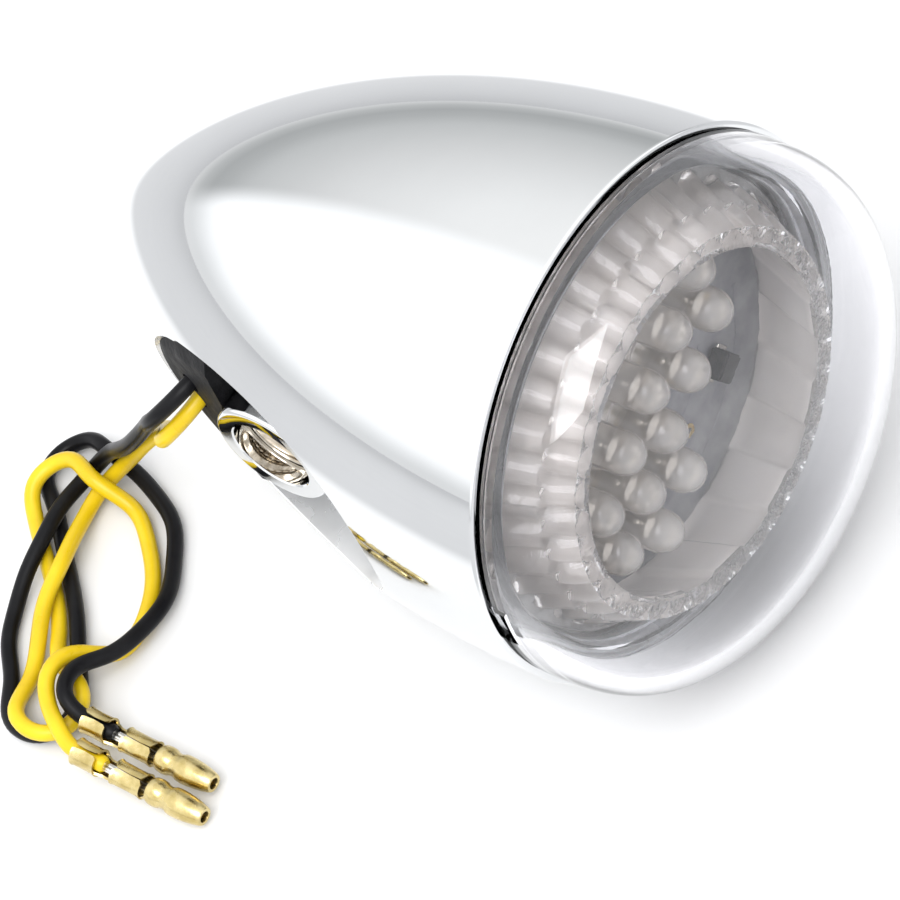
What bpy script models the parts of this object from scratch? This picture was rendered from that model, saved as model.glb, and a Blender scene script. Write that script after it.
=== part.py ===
"""Bullet turn signal indicator: a chromed bullet housing with a clear LED lens, a threaded
mounting boss and two leads with bullet connectors.

Frame: metres, +Z up. The bullet lies on its side, its axis along Y and one housing radius above
the surface. The lens looks along -Y and the mounting boss points along -X. The origin is on the
surface, under the middle of the housing and lens together.

Three measures are used throughout. "Ahead" is the distance from the seam between housing and lens
towards the front of the lens. "Out" is the distance from the bullet's axis towards -X. A station
is the distance from the bullet's tip, towards the lens.
"""
import math

import bmesh
import bpy
import numpy as np
from mathutils import Vector

# ---- driving dimensions, in metres ----
FIT = 0.0003                   # gap left between pieces that touch

HOUSING_RADIUS = 0.0325
HOUSING_LENGTH = 0.078         # tip to seam
NOSE_TAPER = 2.15              # exponents of the nose curve: the first fills its shoulders,
NOSE_ROUND = 0.75              # the second rounds its tip
HOUSING_WALL = 0.0026
RIM_WALL = 0.0025              # housing wall around the lens skirt
RIM_CHAMFER = 0.0004
LEDGE_WIDTH = 0.0022           # the step that the board rests on
NOSE_SOLID = 0.010             # solid metal at the tip

LENS_PROUD = 0.0167            # how far the lens stands ahead of the seam
LENS_STEP = 0.0007             # the lens edge sits this far inside the housing's edge
LENS_WALL = 0.0022
LENS_SHOULDER = 3.65           # exponents of the lens curve
LENS_CROWN = 2.66
SKIRT_DEPTH = 0.0045
SKIRT_WALL = 0.0020
SEAL_WIDTH = 0.0014
SEAL_DEPTH = 0.0009
SEAL_PLACE = 0.0022            # middle of the seal, behind the seam
NOTCH_WIDTH = 0.0055           # pry notch in the lens edge, on the boss side
NOTCH_HEIGHT = 0.0015
NOTCH_DEPTH = 0.0012

BOARD_THICKNESS = 0.0016
GUIDE_FLANGE = 0.0020
GUIDE_PROUD = 0.0060           # light guide's front edge, ahead of the seam
GUIDE_FLANGE_WIDTH = 0.0010
GUIDE_DRAFT = 0.0041           # how much its outside narrows from the flange to the front
GUIDE_WALL = 0.0024

LED_RADIUS = 0.0025
LED_RIM_RADIUS = 0.0029
LED_RIM_HEIGHT = 0.0010
LED_BODY_HEIGHT = 0.0061       # up to where the dome starts
LED_PITCH = 0.0070
LED_ROW_ANGLE = math.radians(28.7)
LED_ORIGIN = (-0.0020, -0.0013)        # first LED, across and above the axis
LED_ROWS = ((0, range(-2, 3)), (1, range(-2, 3)), (-1, range(-1, 1)))
RESISTOR_SIZE = (0.0032, 0.0016, 0.0006)
RESISTOR_ROW = 1.75            # in LED rows from the first one
RESISTOR_COLUMNS = (-1.875, -0.875, 0.125, 1.125)
DIODE_SIZE = (0.0043, 0.0026, 0.0021)
DIODE_PLACE = (0.0125, -0.0105)        # across and above the axis

POCKET_STATION = 0.0383        # middle of the recess around the boss
POCKET_HALF_LENGTH = 0.0219
POCKET_HALF_WIDTH = 0.0128
POCKET_BULGE = 0.0024          # how much wider the recess is towards the lens
POCKET_FLOOR = 0.0175          # out
POCKET_WALL = 0.0022
POCKET_FILLET = 0.0015

BOSS_STATION = 0.0395
BOSS_FACE = 0.0237             # out
BOSS_RADIUS = 0.0074
BOSS_CHAMFER = 0.0005
BOSS_END_WALL = 0.0025
INSERT_RADIUS = 0.0048
INSERT_LENGTH = 0.0100
INSERT_RECESS = 0.0025         # below the boss face
THREAD_MAJOR = 0.0079375       # 5/16 inch, 18 threads to the inch
THREAD_MINOR = 0.0067
THREAD_PITCH = 0.001411
THREAD_TURNS = 6

GROMMET_REAR_STATION = 0.0195
GROMMET_FRONT_STATION = 0.0330
GROMMET_REAR_RISE = 0.0005     # above the recess's floor
GROMMET_FRONT_RISE = 0.0047
GROMMET_SUNK = 0.0004          # below the housing's surface around it
NECK_RADIUS = 0.0036           # the part of the grommet that passes through the housing
NECK_PROUD = 0.0006            # how far it reaches into the hollow

WIRE_DIAMETER = 0.0020
WIRE_SPACING = 0.0030          # between the two wires where they leave the grommet
WIRE_EXIT_STATION = 0.02535
WIRE_POINT_SPACING = 0.0024
WIRE_START = 0.0175            # out, inside the grommet
SOLDER_RADIUS = 0.0016
SOLDER_HEIGHT = 0.0010
SOLDER_OFFSET = 0.0060         # above and below the axis
LEAD_SLACK_OUT = 0.0040        # out, where the leads run inside the housing

CRIMP_RADIUS = 0.0016          # around the wire's insulation
CRIMP_LENGTH = 0.0042
CONNECTOR_NECK_RADIUS = 0.0011
BARREL_RADIUS = 0.0015         # around the wire's strands
BARREL_LENGTH = 0.0045
COLLAR_RADIUS = 0.0017
BULLET_RADIUS = 0.0017
BULLET_LENGTH = 0.0060
BULLET_TIP_RADIUS = 0.0011
CONNECTOR_LENGTH = 0.0186
WIRE_IN_CRIMP = 0.0030         # length of wire inside the crimp

# ---- places that follow from them ----
AXIS_Z = HOUSING_RADIUS
SEAM_Y = LENS_PROUD - (HOUSING_LENGTH + LENS_PROUD) / 2
TIP_Y = SEAM_Y + HOUSING_LENGTH
MOUTH_RADIUS = HOUSING_RADIUS - RIM_WALL
CORE_RADIUS = MOUTH_RADIUS - LEDGE_WIDTH       # widest hollow behind the board
LENS_RADIUS = HOUSING_RADIUS - LENS_STEP
SKIRT_RADIUS = MOUTH_RADIUS - FIT
SKIRT_INNER = SKIRT_RADIUS - SKIRT_WALL
BOARD_FRONT = -SKIRT_DEPTH - FIT
BOARD_BACK = BOARD_FRONT - BOARD_THICKNESS
LEDGE = BOARD_BACK - FIT
BOARD_RADIUS = MOUTH_RADIUS - 2 * FIT
ON_BOARD = BOARD_FRONT + FIT
BOSS_Y = TIP_Y - BOSS_STATION
INSERT_TOP = BOSS_FACE - INSERT_RECESS
INSERT_BOTTOM = INSERT_TOP - INSERT_LENGTH
BORE_BOTTOM = INSERT_BOTTOM - FIT
GROMMET_FLOOR = POCKET_FLOOR + FIT
WIRE_HOLE_RADIUS = WIRE_DIAMETER / 2 + FIT
WIRE_EXIT_Y = TIP_Y - WIRE_EXIT_STATION
BLACK_RISE = WIRE_SPACING / 2          # above the axis
YELLOW_RISE = -WIRE_SPACING / 2
FAR = 1.4 * HOUSING_RADIUS             # out, clear of the housing

FINE_STEPS = 48                # facets around the housing and lens
SMALL_STEPS = 12               # facets around small turned pieces
INSERT_STEPS = 20
POCKET_POINTS = 28

# ---- the leads' routes, in millimetres: out of the grommet, down to the surface, through one
# loose loop and into the connectors, which lie side by side pointing along -Y ----
BLACK_ROUTE = (
    (-17.5, 22.0, 34.0), (-18.9, 22.0, 34.0), (-20.4, 22.2, 33.9), (-24.1, 26.8, 29.4),
    (-21.9, 31.1, 24.1), (-21.8, 37.4, 16.5), (-20.5, 44.1, 9.5), (-20.7, 49.7, 3.5),
    (-22.5, 50.6, 2.6), (-27.4, 50.5, 3.1), (-31.6, 49.5, 3.5), (-36.2, 49.0, 2.6),
    (-40.7, 47.9, 1.4), (-45.2, 45.5, 1.3), (-49.1, 42.1, 1.1), (-53.4, 38.8, 1.1),
    (-53.8, 34.3, 1.1), (-51.3, 32.1, 1.1), (-47.7, 32.6, 1.1), (-43.9, 35.5, 1.1),
    (-39.2, 39.2, 1.7), (-34.5, 44.0, 1.5), (-30.1, 49.0, 1.1), (-26.1, 53.6, 1.1),
    (-23.0, 56.9, 1.1), (-19.8, 56.9, 1.2), (-17.4, 53.9, 2.2), (-18.0, 50.3, 3.1),
    (-18.6, 46.1, 1.6), (-20.2, 41.5, 1.1), (-22.8, 36.9, 1.2), (-27.0, 33.6, 1.2),
    (-31.8, 30.8, 1.8), (-37.2, 30.1, 2.8), (-42.5, 31.1, 4.0), (-46.1, 32.5, 5.4),
    (-49.7, 31.0, 5.6), (-50.5, 28.8, 4.4), (-50.6, 26.6, 3.9), (-50.6, 24.6, 3.7),
)
YELLOW_ROUTE = (
    (-17.5, 22.0, 31.0), (-18.9, 22.0, 31.0), (-20.4, 22.1, 30.8), (-24.1, 26.3, 26.2),
    (-20.6, 30.4, 21.4), (-20.0, 36.4, 15.3), (-19.5, 42.1, 8.6), (-20.1, 46.6, 3.5),
    (-22.8, 48.0, 2.1), (-26.4, 47.7, 1.9), (-30.4, 46.1, 3.1), (-34.5, 44.6, 3.8),
    (-39.3, 43.6, 3.1), (-44.1, 41.5, 1.9), (-48.5, 39.5, 1.7), (-53.5, 36.8, 3.2),
    (-54.2, 33.0, 3.0), (-51.3, 30.3, 2.6), (-47.6, 31.3, 3.0), (-45.2, 36.4, 2.9),
    (-41.4, 40.5, 1.3), (-36.7, 44.9, 1.1), (-32.4, 50.1, 1.1), (-28.8, 54.2, 1.6),
    (-26.0, 55.8, 3.0), (-23.1, 54.9, 3.8), (-21.8, 52.1, 4.8), (-23.0, 48.0, 5.0),
    (-23.2, 42.6, 1.8), (-25.9, 38.6, 1.2), (-29.4, 35.1, 1.1), (-34.0, 32.4, 1.1),
    (-40.4, 31.9, 1.4), (-45.0, 34.8, 5.3), (-48.5, 34.7, 5.8), (-51.4, 32.6, 4.8),
    (-53.1, 30.0, 5.0), (-54.5, 27.0, 4.1), (-54.6, 25.0, 3.9), (-54.6, 23.0, 3.7),
)

# ---- scene and materials ----
for old in list(bpy.data.objects):
    bpy.data.objects.remove(old)

parts = bpy.data.collections.new("turn_signal_indicator")
cutters = bpy.data.collections.new("cutters")
cutters.hide_render = True
for collection in (parts, cutters):
    bpy.context.scene.collection.children.link(collection)


def material(name, colour, metallic=0.0, roughness=0.5, transmission=0.0):
    made = bpy.data.materials.new(name)
    made.use_nodes = True
    shader = made.node_tree.nodes["Principled BSDF"]
    shader.inputs["Base Color"].default_value = (*colour, 1)
    shader.inputs["Metallic"].default_value = metallic
    shader.inputs["Roughness"].default_value = roughness
    shader.inputs["Transmission Weight"].default_value = transmission
    made.diffuse_color = (*colour, 1)
    return made


CHROME = material("chrome", (0.86, 0.87, 0.88), 1.0, 0.06)
BRASS = material("brass", (0.80, 0.62, 0.28), 1.0, 0.22)
STEEL = material("steel", (0.70, 0.66, 0.56), 1.0, 0.25)
CLEAR = material("clear_plastic", (0.95, 0.95, 0.94), 0.0, 0.04, 0.95)
GUIDE_CLEAR = material("guide_plastic", (0.88, 0.83, 0.76), 0.0, 0.15, 0.8)
LED_CLEAR = material("led_epoxy", (0.87, 0.84, 0.76), 0.0, 0.05, 0.8)
RUBBER = material("black_rubber", (0.02, 0.02, 0.02), 0.0, 0.7)
SILICONE = material("pale_silicone", (0.82, 0.82, 0.80), 0.0, 0.5)
BOARD = material("board", (0.06, 0.07, 0.07), 0.0, 0.5)
CERAMIC = material("ceramic", (0.10, 0.12, 0.15), 0.0, 0.4)
SOLDER = material("solder", (0.75, 0.75, 0.76), 1.0, 0.3)
BLACK_PVC = material("black_pvc", (0.02, 0.02, 0.022), 0.0, 0.35)
YELLOW_PVC = material("yellow_pvc", (0.85, 0.62, 0.02), 0.0, 0.35)


# ---- ways of making a piece ----
def place(name, mesh, collection, finish=None):
    obj = bpy.data.objects.new(name, mesh)
    collection.objects.link(obj)
    if collection == cutters:
        obj.display_type = "WIRE"
    if finish:
        obj.data.materials.append(finish)
    return obj


def turned(name, profile, steps, finish=None, ring=False, collection=parts):
    """A piece turned about its own Z axis. The profile's (radius, height) points run from the top
    down the piece's outer side. A ring's profile closes on itself, any other one starts and ends
    on the axis."""
    count = len(profile)
    edges = [(i, i + 1) for i in range(count - 1)]
    if ring:
        edges.append((count - 1, 0))
    mesh = bpy.data.meshes.new(name)
    mesh.from_pydata([(radius, 0, height) for radius, height in profile], edges, [])
    obj = place(name, mesh, collection, finish)
    screw = obj.modifiers.new("turn", "SCREW")
    screw.axis = "Z"
    screw.steps = steps
    screw.render_steps = steps
    screw.use_merge_vertices = True
    screw.merge_threshold = 0.00001
    return obj


def lofted(name, rings, finish=None, collection=parts):
    """A solid through rings of equally many points."""
    shape = bmesh.new()
    rows = [[shape.verts.new(point) for point in ring] for ring in rings]
    for lower, upper in zip(rows, rows[1:]):
        for i in range(len(lower)):
            j = (i + 1) % len(lower)
            shape.faces.new((lower[i], lower[j], upper[j], upper[i]))
    shape.faces.new(rows[0])
    shape.faces.new(rows[-1])
    bmesh.ops.recalc_face_normals(shape, faces=shape.faces)
    mesh = bpy.data.meshes.new(name)
    shape.to_mesh(mesh)
    shape.free()
    return place(name, mesh, collection, finish)


def block(name, size, finish=None, collection=parts):
    """A box that stands on its own origin."""
    length, width, height = size
    outline = [(-length / 2, -width / 2), (length / 2, -width / 2)]
    outline += [(length / 2, width / 2), (-length / 2, width / 2)]
    rings = [[(x, y, z) for x, y in outline] for z in (0, height)]
    return lofted(name, rings, finish, collection)


def boolean(obj, tool, operation="DIFFERENCE"):
    """Adds a cut or a join, whose faces are then made flat so that the next one stays exact."""
    step = obj.modifiers.new(tool.name, "BOOLEAN")
    step.operation = operation
    step.solver = "EXACT"
    step.object = tool
    obj.modifiers.new("flat_faces", "TRIANGULATE")


def face_forward(obj, across=0.0, above=0.0, ahead=0.0):
    """Points the piece's Z axis to the front of the lens."""
    obj.rotation_euler = (math.pi / 2, 0, 0)
    obj.location = (across, SEAM_Y - ahead, AXIS_Z + above)


def face_out(obj, y=0.0, above=0.0):
    """Points the piece's Z axis out through the boss, its X axis up and its Y axis to the tip."""
    obj.rotation_euler = (0, -math.pi / 2, 0)
    obj.location = (0, y, AXIS_Z + above)


def cylinder(name, radius, bottom, top, steps, collection=cutters):
    profile = [(0, top), (radius, top), (radius, bottom), (0, bottom)]
    return turned(name, profile, steps, collection=collection)


def smooth_curve(route, spacing):
    """Evenly spaced points on a natural cubic spline through the route's points."""
    knots = np.array(route, dtype=float)
    steps = np.linalg.norm(np.diff(knots, axis=0), axis=1)
    count = len(knots)
    system = np.eye(count)
    change = np.zeros((count, 3))
    for i in range(1, count - 1):
        before, after = steps[i - 1], steps[i]
        system[i, i - 1:i + 2] = before, 2 * (before + after), after
        change[i] = 6 * ((knots[i + 1] - knots[i]) / after - (knots[i] - knots[i - 1]) / before)
    bend = np.linalg.solve(system, change)
    fine = [knots[:1]]
    for i, step in enumerate(steps):
        t = np.linspace(0, step, 13)[1:, None]
        left, right = step - t, t
        piece = (bend[i] * left**3 + bend[i + 1] * right**3) / (6 * step)
        piece = piece + (knots[i] / step - bend[i] * step / 6) * left
        piece = piece + (knots[i + 1] / step - bend[i + 1] * step / 6) * right
        fine.append(piece)
    line = np.concatenate(fine)
    run = np.concatenate(([0], np.cumsum(np.linalg.norm(np.diff(line, axis=0), axis=1))))
    places = np.linspace(0, run[-1], max(2, round(run[-1] / spacing)) + 1)
    return np.stack([np.interp(places, run, line[:, k]) for k in range(3)], axis=1)


def tube(name, points, diameter, finish):
    curve = bpy.data.curves.new(name, "CURVE")
    curve.dimensions = "3D"
    curve.bevel_depth = diameter / 2
    curve.bevel_resolution = 2
    curve.use_fill_caps = True
    spline = curve.splines.new("POLY")
    spline.points.add(len(points) - 1)
    for point, (x, y, z) in zip(spline.points, points):
        point.co = (x, y, z, 1)
    return place(name, curve, parts, finish)


def shade(obj):
    """Applies the piece's modifiers, and shades it smooth but for its sharp edges."""
    graph = bpy.context.evaluated_depsgraph_get()
    mesh = bpy.data.meshes.new_from_object(obj.evaluated_get(graph))
    shape = bmesh.new()
    shape.from_mesh(mesh)
    bmesh.ops.remove_doubles(shape, verts=shape.verts, dist=0.000002)
    shape.to_mesh(mesh)
    shape.free()
    obj.modifiers.clear()
    obj.data = mesh
    mesh.shade_smooth()
    mesh.set_sharp_from_angle(angle=math.radians(32))


# ---- housing ----
def housing_radius(ahead, inset=0.0):
    """The bullet's outer radius, drawn in by inset. The tip is at -HOUSING_LENGTH."""
    toward_tip = min(1.0, max(0.0, -ahead / HOUSING_LENGTH))
    return HOUSING_RADIUS * (1 - toward_tip**NOSE_TAPER) ** NOSE_ROUND - inset


def housing_profile(inset=0.0):
    """Outer curve from just behind the seam to the tip, with points closer near the tip."""
    shares = [math.sin(0.5 * math.pi * i / 17) for i in range(1, 17)]
    reach = HOUSING_LENGTH - inset
    points = [(housing_radius(-share * reach, inset), -share * reach) for share in shares]
    return [point for point in points if point[0] > 0] + [(0, -reach)]


outer = [(0, 0), (HOUSING_RADIUS - RIM_CHAMFER, 0), (HOUSING_RADIUS, -RIM_CHAMFER)]
housing = turned("housing", outer + housing_profile(), FINE_STEPS, CHROME)
face_forward(housing)

hollow = [(0, FIT), (MOUTH_RADIUS, FIT), (MOUTH_RADIUS, LEDGE)]
for share in (0.0, 0.22, 0.42, 0.58, 0.70, 0.80, 0.88, 0.95, 1.0):
    ahead = LEDGE - share * (HOUSING_LENGTH - NOSE_SOLID + LEDGE)
    hollow.append((min(CORE_RADIUS, housing_radius(ahead, HOUSING_WALL)), ahead))
hollow.append((0, NOSE_SOLID - HOUSING_LENGTH))
cavity = turned("cavity", hollow, FINE_STEPS, collection=cutters)
face_forward(cavity)


def pocket_outline(inset):
    """The recess's edge, as points up from the axis and along Y, drawn in by inset."""
    edge = []
    for i in range(POCKET_POINTS):
        turn = 2 * math.pi * i / POCKET_POINTS
        forward = math.cos(turn)
        up = (POCKET_HALF_WIDTH + POCKET_BULGE * forward) * math.sin(turn)
        edge.append((up, TIP_Y - POCKET_STATION - POCKET_HALF_LENGTH * forward))
    drawn_in = []
    for i, (up, along) in enumerate(edge):
        back = edge[i - 1]
        on = edge[(i + 1) % POCKET_POINTS]
        run_up, run_along = on[0] - back[0], on[1] - back[1]
        length = math.hypot(run_up, run_along)
        drawn_in.append((up - inset * run_along / length, along + inset * run_up / length))
    return drawn_in


def pocket_ring(inset, out):
    return [(up, along, out) for up, along in pocket_outline(inset)]


def pocket_solid(name, inset, floor, fillet, collection):
    """The recess's shape as a solid, its floor's edge rounded by the fillet."""
    rings = []
    if fillet:
        for turn in (0.0, 0.25 * math.pi):
            cut_in = fillet * (1 - math.sin(turn))
            rings.append(pocket_ring(inset + cut_in, floor + fillet * (1 - math.cos(turn))))
    rings.append(pocket_ring(inset, floor + fillet))
    rings.append(pocket_ring(inset, FAR))
    solid = lofted(name, rings, collection=collection)
    face_out(solid)
    return solid


pocket_block = pocket_solid("pocket_block", -POCKET_WALL, POCKET_FLOOR - POCKET_WALL, 0, cutters)
boss_block = cylinder("boss_block", BOSS_RADIUS, BORE_BOTTOM - BOSS_END_WALL, FAR, 24)
face_out(boss_block, BOSS_Y)
boolean(cavity, pocket_block)
boolean(cavity, boss_block)
boolean(housing, cavity)

boss_core = turned(
    "boss_core",
    [(0, BOSS_FACE), (BOSS_RADIUS - BOSS_CHAMFER, BOSS_FACE),
     (BOSS_RADIUS, BOSS_FACE - BOSS_CHAMFER), (BOSS_RADIUS, 0), (0, 0)],
    24, collection=cutters,
)
face_out(boss_core, BOSS_Y)
pocket = pocket_solid("pocket", 0, POCKET_FLOOR, POCKET_FILLET, cutters)
boolean(pocket, boss_core)
boolean(housing, pocket)

bore = cylinder("bore", INSERT_RADIUS + FIT, BORE_BOTTOM, FAR, INSERT_STEPS)
face_out(bore, BOSS_Y)
boolean(housing, bore)
neck_room = cylinder("neck_room", NECK_RADIUS + FIT, CORE_RADIUS / 4, POCKET_FLOOR + FIT, 16)
face_out(neck_room, WIRE_EXIT_Y)
boolean(housing, neck_room)

# ---- threaded insert, turned with a plain groove for each turn of thread ----
thread = []
first_turn = INSERT_BOTTOM + (INSERT_LENGTH - THREAD_TURNS * THREAD_PITCH) / 2
for i in range(THREAD_TURNS):
    low = first_turn + i * THREAD_PITCH
    thread += [(THREAD_MINOR / 2, low), (THREAD_MAJOR / 2, low + THREAD_PITCH / 2)]
thread.append((THREAD_MINOR / 2, first_turn + THREAD_TURNS * THREAD_PITCH))
insert_profile = [(INSERT_RADIUS, INSERT_TOP), (INSERT_RADIUS, INSERT_BOTTOM)]
insert_profile += [(THREAD_MAJOR / 2, INSERT_BOTTOM)] + thread + [(THREAD_MAJOR / 2, INSERT_TOP)]
insert = turned("threaded_insert", insert_profile, INSERT_STEPS, STEEL, ring=True)
face_out(insert, BOSS_Y)

# ---- wire grommet: a rubber plug that fills the recess behind the boss ----
grommet = pocket_solid("wire_grommet", FIT, GROMMET_FLOOR, POCKET_FILLET, parts)
grommet.data.materials.append(RUBBER)
rear = TIP_Y - GROMMET_REAR_STATION
front = TIP_Y - GROMMET_FRONT_STATION
slope = [(rear, GROMMET_FLOOR - FIT), (rear, POCKET_FLOOR + GROMMET_REAR_RISE)]
slope += [(front, POCKET_FLOOR + GROMMET_FRONT_RISE), (front, GROMMET_FLOOR - FIT)]
wedge_rings = [[(up, y, out) for y, out in slope] for up in (-HOUSING_RADIUS, HOUSING_RADIUS)]
wedge = lofted("grommet_wedge", wedge_rings, collection=cutters)
face_out(wedge)
boolean(grommet, wedge, "INTERSECT")
skin = [(0, 0), (HOUSING_RADIUS - GROMMET_SUNK, 0)] + housing_profile(GROMMET_SUNK)
grommet_skin = turned("grommet_skin", skin, FINE_STEPS, collection=cutters)
face_forward(grommet_skin)
boolean(grommet, grommet_skin, "INTERSECT")
boss_room = cylinder("boss_room", BOSS_RADIUS + FIT, 0, FAR, 24)
face_out(boss_room, BOSS_Y)
boolean(grommet, boss_room)
neck_end = POCKET_FLOOR - POCKET_WALL - NECK_PROUD
neck = cylinder("neck", NECK_RADIUS, neck_end, GROMMET_FLOOR + FIT, 16)
face_out(neck, WIRE_EXIT_Y)
boolean(grommet, neck, "UNION")
for colour, rise in (("black", BLACK_RISE), ("yellow", YELLOW_RISE)):
    wire_hole = cylinder(f"wire_hole_{colour}", WIRE_HOLE_RADIUS, 0, FAR, 8)
    face_out(wire_hole, WIRE_EXIT_Y, rise)
    boolean(grommet, wire_hole)


# ---- lens ----
def lens_radius(ahead):
    """The lens's outer radius this far ahead of the seam."""
    share = min(1.0, max(0.0, ahead / LENS_PROUD))
    return LENS_RADIUS * (1 - share**LENS_SHOULDER) ** (1 / LENS_CROWN)


def lens_curve(count):
    """Outer (radius, ahead) points and their unit normals, from the crown to the edge."""
    heights = [LENS_PROUD * math.cos(0.5 * math.pi * i / count) ** 0.75 for i in range(1, count)]
    points = [(0, LENS_PROUD)] + [(lens_radius(height), height) for height in heights]
    points.append((LENS_RADIUS, FIT))
    normals = []
    for i, _ in enumerate(points):
        high, low = points[max(i - 1, 0)], points[min(i + 1, len(points) - 1)]
        run, drop = low[0] - high[0], high[1] - low[1]
        length = math.hypot(run, drop)
        normals.append((drop / length, run / length))
    normals[0] = (0, 1)
    normals[-1] = (1, 0)
    return points, normals


crown, outward = lens_curve(12)
inside = [(r - LENS_WALL * n, h - LENS_WALL * m) for (r, h), (n, m) in zip(crown, outward)]
inside = [point for point in inside[1:-1] if point[1] > FIT]
inside = [(min(r, SKIRT_INNER), h) for r, h in inside]
groove_high = -SEAL_PLACE + SEAL_WIDTH / 2 + FIT
groove_low = -SEAL_PLACE - SEAL_WIDTH / 2 - FIT
groove_floor = SKIRT_RADIUS - SEAL_DEPTH - FIT
lens_profile = crown + [(SKIRT_RADIUS, FIT), (SKIRT_RADIUS, groove_high)]
lens_profile += [(groove_floor, groove_high), (groove_floor, groove_low)]
lens_profile += [(SKIRT_RADIUS, groove_low), (SKIRT_RADIUS, -SKIRT_DEPTH)]
lens_profile += [(SKIRT_INNER, -SKIRT_DEPTH), (SKIRT_INNER, FIT)]
lens_profile += inside[::-1] + [(0, LENS_PROUD - LENS_WALL)]
lens = turned("lens", lens_profile, FINE_STEPS, CLEAR)
face_forward(lens)
notch = block("pry_notch", (2 * NOTCH_DEPTH, NOTCH_WIDTH, NOTCH_HEIGHT + FIT), None, cutters)
face_forward(notch, -LENS_RADIUS)
boolean(lens, notch)

seal_outer = SKIRT_RADIUS
seal_inner = SKIRT_RADIUS - SEAL_DEPTH
seal_profile = [(seal_outer, -SEAL_PLACE + SEAL_WIDTH / 2), (seal_outer, -SEAL_PLACE - SEAL_WIDTH / 2)]
seal_profile += [(seal_inner, -SEAL_PLACE - SEAL_WIDTH / 2), (seal_inner, -SEAL_PLACE + SEAL_WIDTH / 2)]
seal = turned("lens_seal", seal_profile, FINE_STEPS, SILICONE, ring=True)
face_forward(seal)

# ---- light guide, circuit board and what is on it ----
guide_base = -SKIRT_DEPTH
flange_top = guide_base + GUIDE_FLANGE
guide_flange_radius = SKIRT_INNER - FIT
guide_shoulder = guide_flange_radius - GUIDE_FLANGE_WIDTH
guide_front = guide_shoulder - GUIDE_DRAFT
guide_profile = [(guide_front, GUIDE_PROUD), (guide_shoulder, flange_top)]
guide_profile += [(guide_flange_radius, flange_top), (guide_flange_radius, guide_base)]
guide_profile += [(guide_shoulder - GUIDE_WALL, guide_base)]
guide_profile += [(guide_front - GUIDE_WALL, GUIDE_PROUD)]
guide = turned("light_guide", guide_profile, FINE_STEPS, GUIDE_CLEAR, ring=True)
face_forward(guide)

board_profile = [(0, BOARD_FRONT), (BOARD_RADIUS, BOARD_FRONT)]
board_profile += [(BOARD_RADIUS, BOARD_BACK), (0, BOARD_BACK)]
board = turned("circuit_board", board_profile, FINE_STEPS, BOARD)
face_forward(board)


def board_point(row, column):
    """Where this row and column of the LED grid are, across and above the axis."""
    row_angle = LED_ROW_ANGLE + math.radians(60)
    across = column * math.cos(LED_ROW_ANGLE) + row * math.cos(row_angle)
    above = column * math.sin(LED_ROW_ANGLE) + row * math.sin(row_angle)
    return LED_ORIGIN[0] + LED_PITCH * across, LED_ORIGIN[1] + LED_PITCH * above


led_profile = [(0, LED_BODY_HEIGHT + LED_RADIUS)]
for turn in (30, 60, 90):
    rise = LED_RADIUS * math.cos(math.radians(turn))
    led_profile.append((LED_RADIUS * math.sin(math.radians(turn)), LED_BODY_HEIGHT + rise))
led_profile += [(LED_RADIUS, LED_RIM_HEIGHT), (LED_RIM_RADIUS, LED_RIM_HEIGHT)]
led_profile += [(LED_RIM_RADIUS, 0), (0, 0)]
led_places = [board_point(row, column) for row, columns in LED_ROWS for column in columns]
for i, (across, above) in enumerate(led_places):
    led = turned(f"led_{i + 1:02d}", led_profile, SMALL_STEPS, LED_CLEAR)
    face_forward(led, across, above, ON_BOARD)

for i, column in enumerate(RESISTOR_COLUMNS):
    resistor = block(f"resistor_{i + 1}", RESISTOR_SIZE, CERAMIC)
    across, above = board_point(RESISTOR_ROW, column)
    face_forward(resistor, across, above, ON_BOARD)
    resistor.rotation_euler.y = -LED_ROW_ANGLE

diode = block("rectifier_diode", DIODE_SIZE, RUBBER)
face_forward(diode, *DIODE_PLACE, ON_BOARD)
diode.rotation_euler.y = -LED_ROW_ANGLE

# ---- leads inside the housing and their solder joints ----
bead_profile = [(0, SOLDER_HEIGHT), (0.6 * SOLDER_RADIUS, 0.8 * SOLDER_HEIGHT)]
bead_profile += [(SOLDER_RADIUS, 0), (0, 0)]
board_back_y = SEAM_Y - BOARD_BACK + FIT
lead_end_y = board_back_y + SOLDER_HEIGHT + FIT
lead_start = -(WIRE_START - FIT)
for colour, rise, side, finish in (
    ("black", BLACK_RISE, 1, BLACK_PVC),
    ("yellow", YELLOW_RISE, -1, YELLOW_PVC),
):
    bead = turned(f"solder_{colour}", bead_profile, 8, SOLDER)
    bead.rotation_euler = (-math.pi / 2, 0, 0)
    bead.location = (-LEAD_SLACK_OUT, board_back_y, AXIS_Z + side * SOLDER_OFFSET)
    turn_y = WIRE_EXIT_Y - 0.002
    route = [
        (lead_start, WIRE_EXIT_Y, AXIS_Z + rise),
        (0.72 * lead_start, WIRE_EXIT_Y, AXIS_Z + rise),
        (-1.9 * LEAD_SLACK_OUT, turn_y, AXIS_Z + rise),
        (-LEAD_SLACK_OUT, 0.6 * turn_y, AXIS_Z + 1.4 * rise),
        (-LEAD_SLACK_OUT, -0.2 * turn_y, AXIS_Z + side * 0.7 * SOLDER_OFFSET),
        (-LEAD_SLACK_OUT, 0.6 * lead_end_y, AXIS_Z + side * SOLDER_OFFSET),
        (-LEAD_SLACK_OUT, lead_end_y, AXIS_Z + side * SOLDER_OFFSET),
    ]
    tube(f"lead_{colour}", smooth_curve(route, 2 * WIRE_POINT_SPACING), WIRE_DIAMETER, finish)

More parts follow.
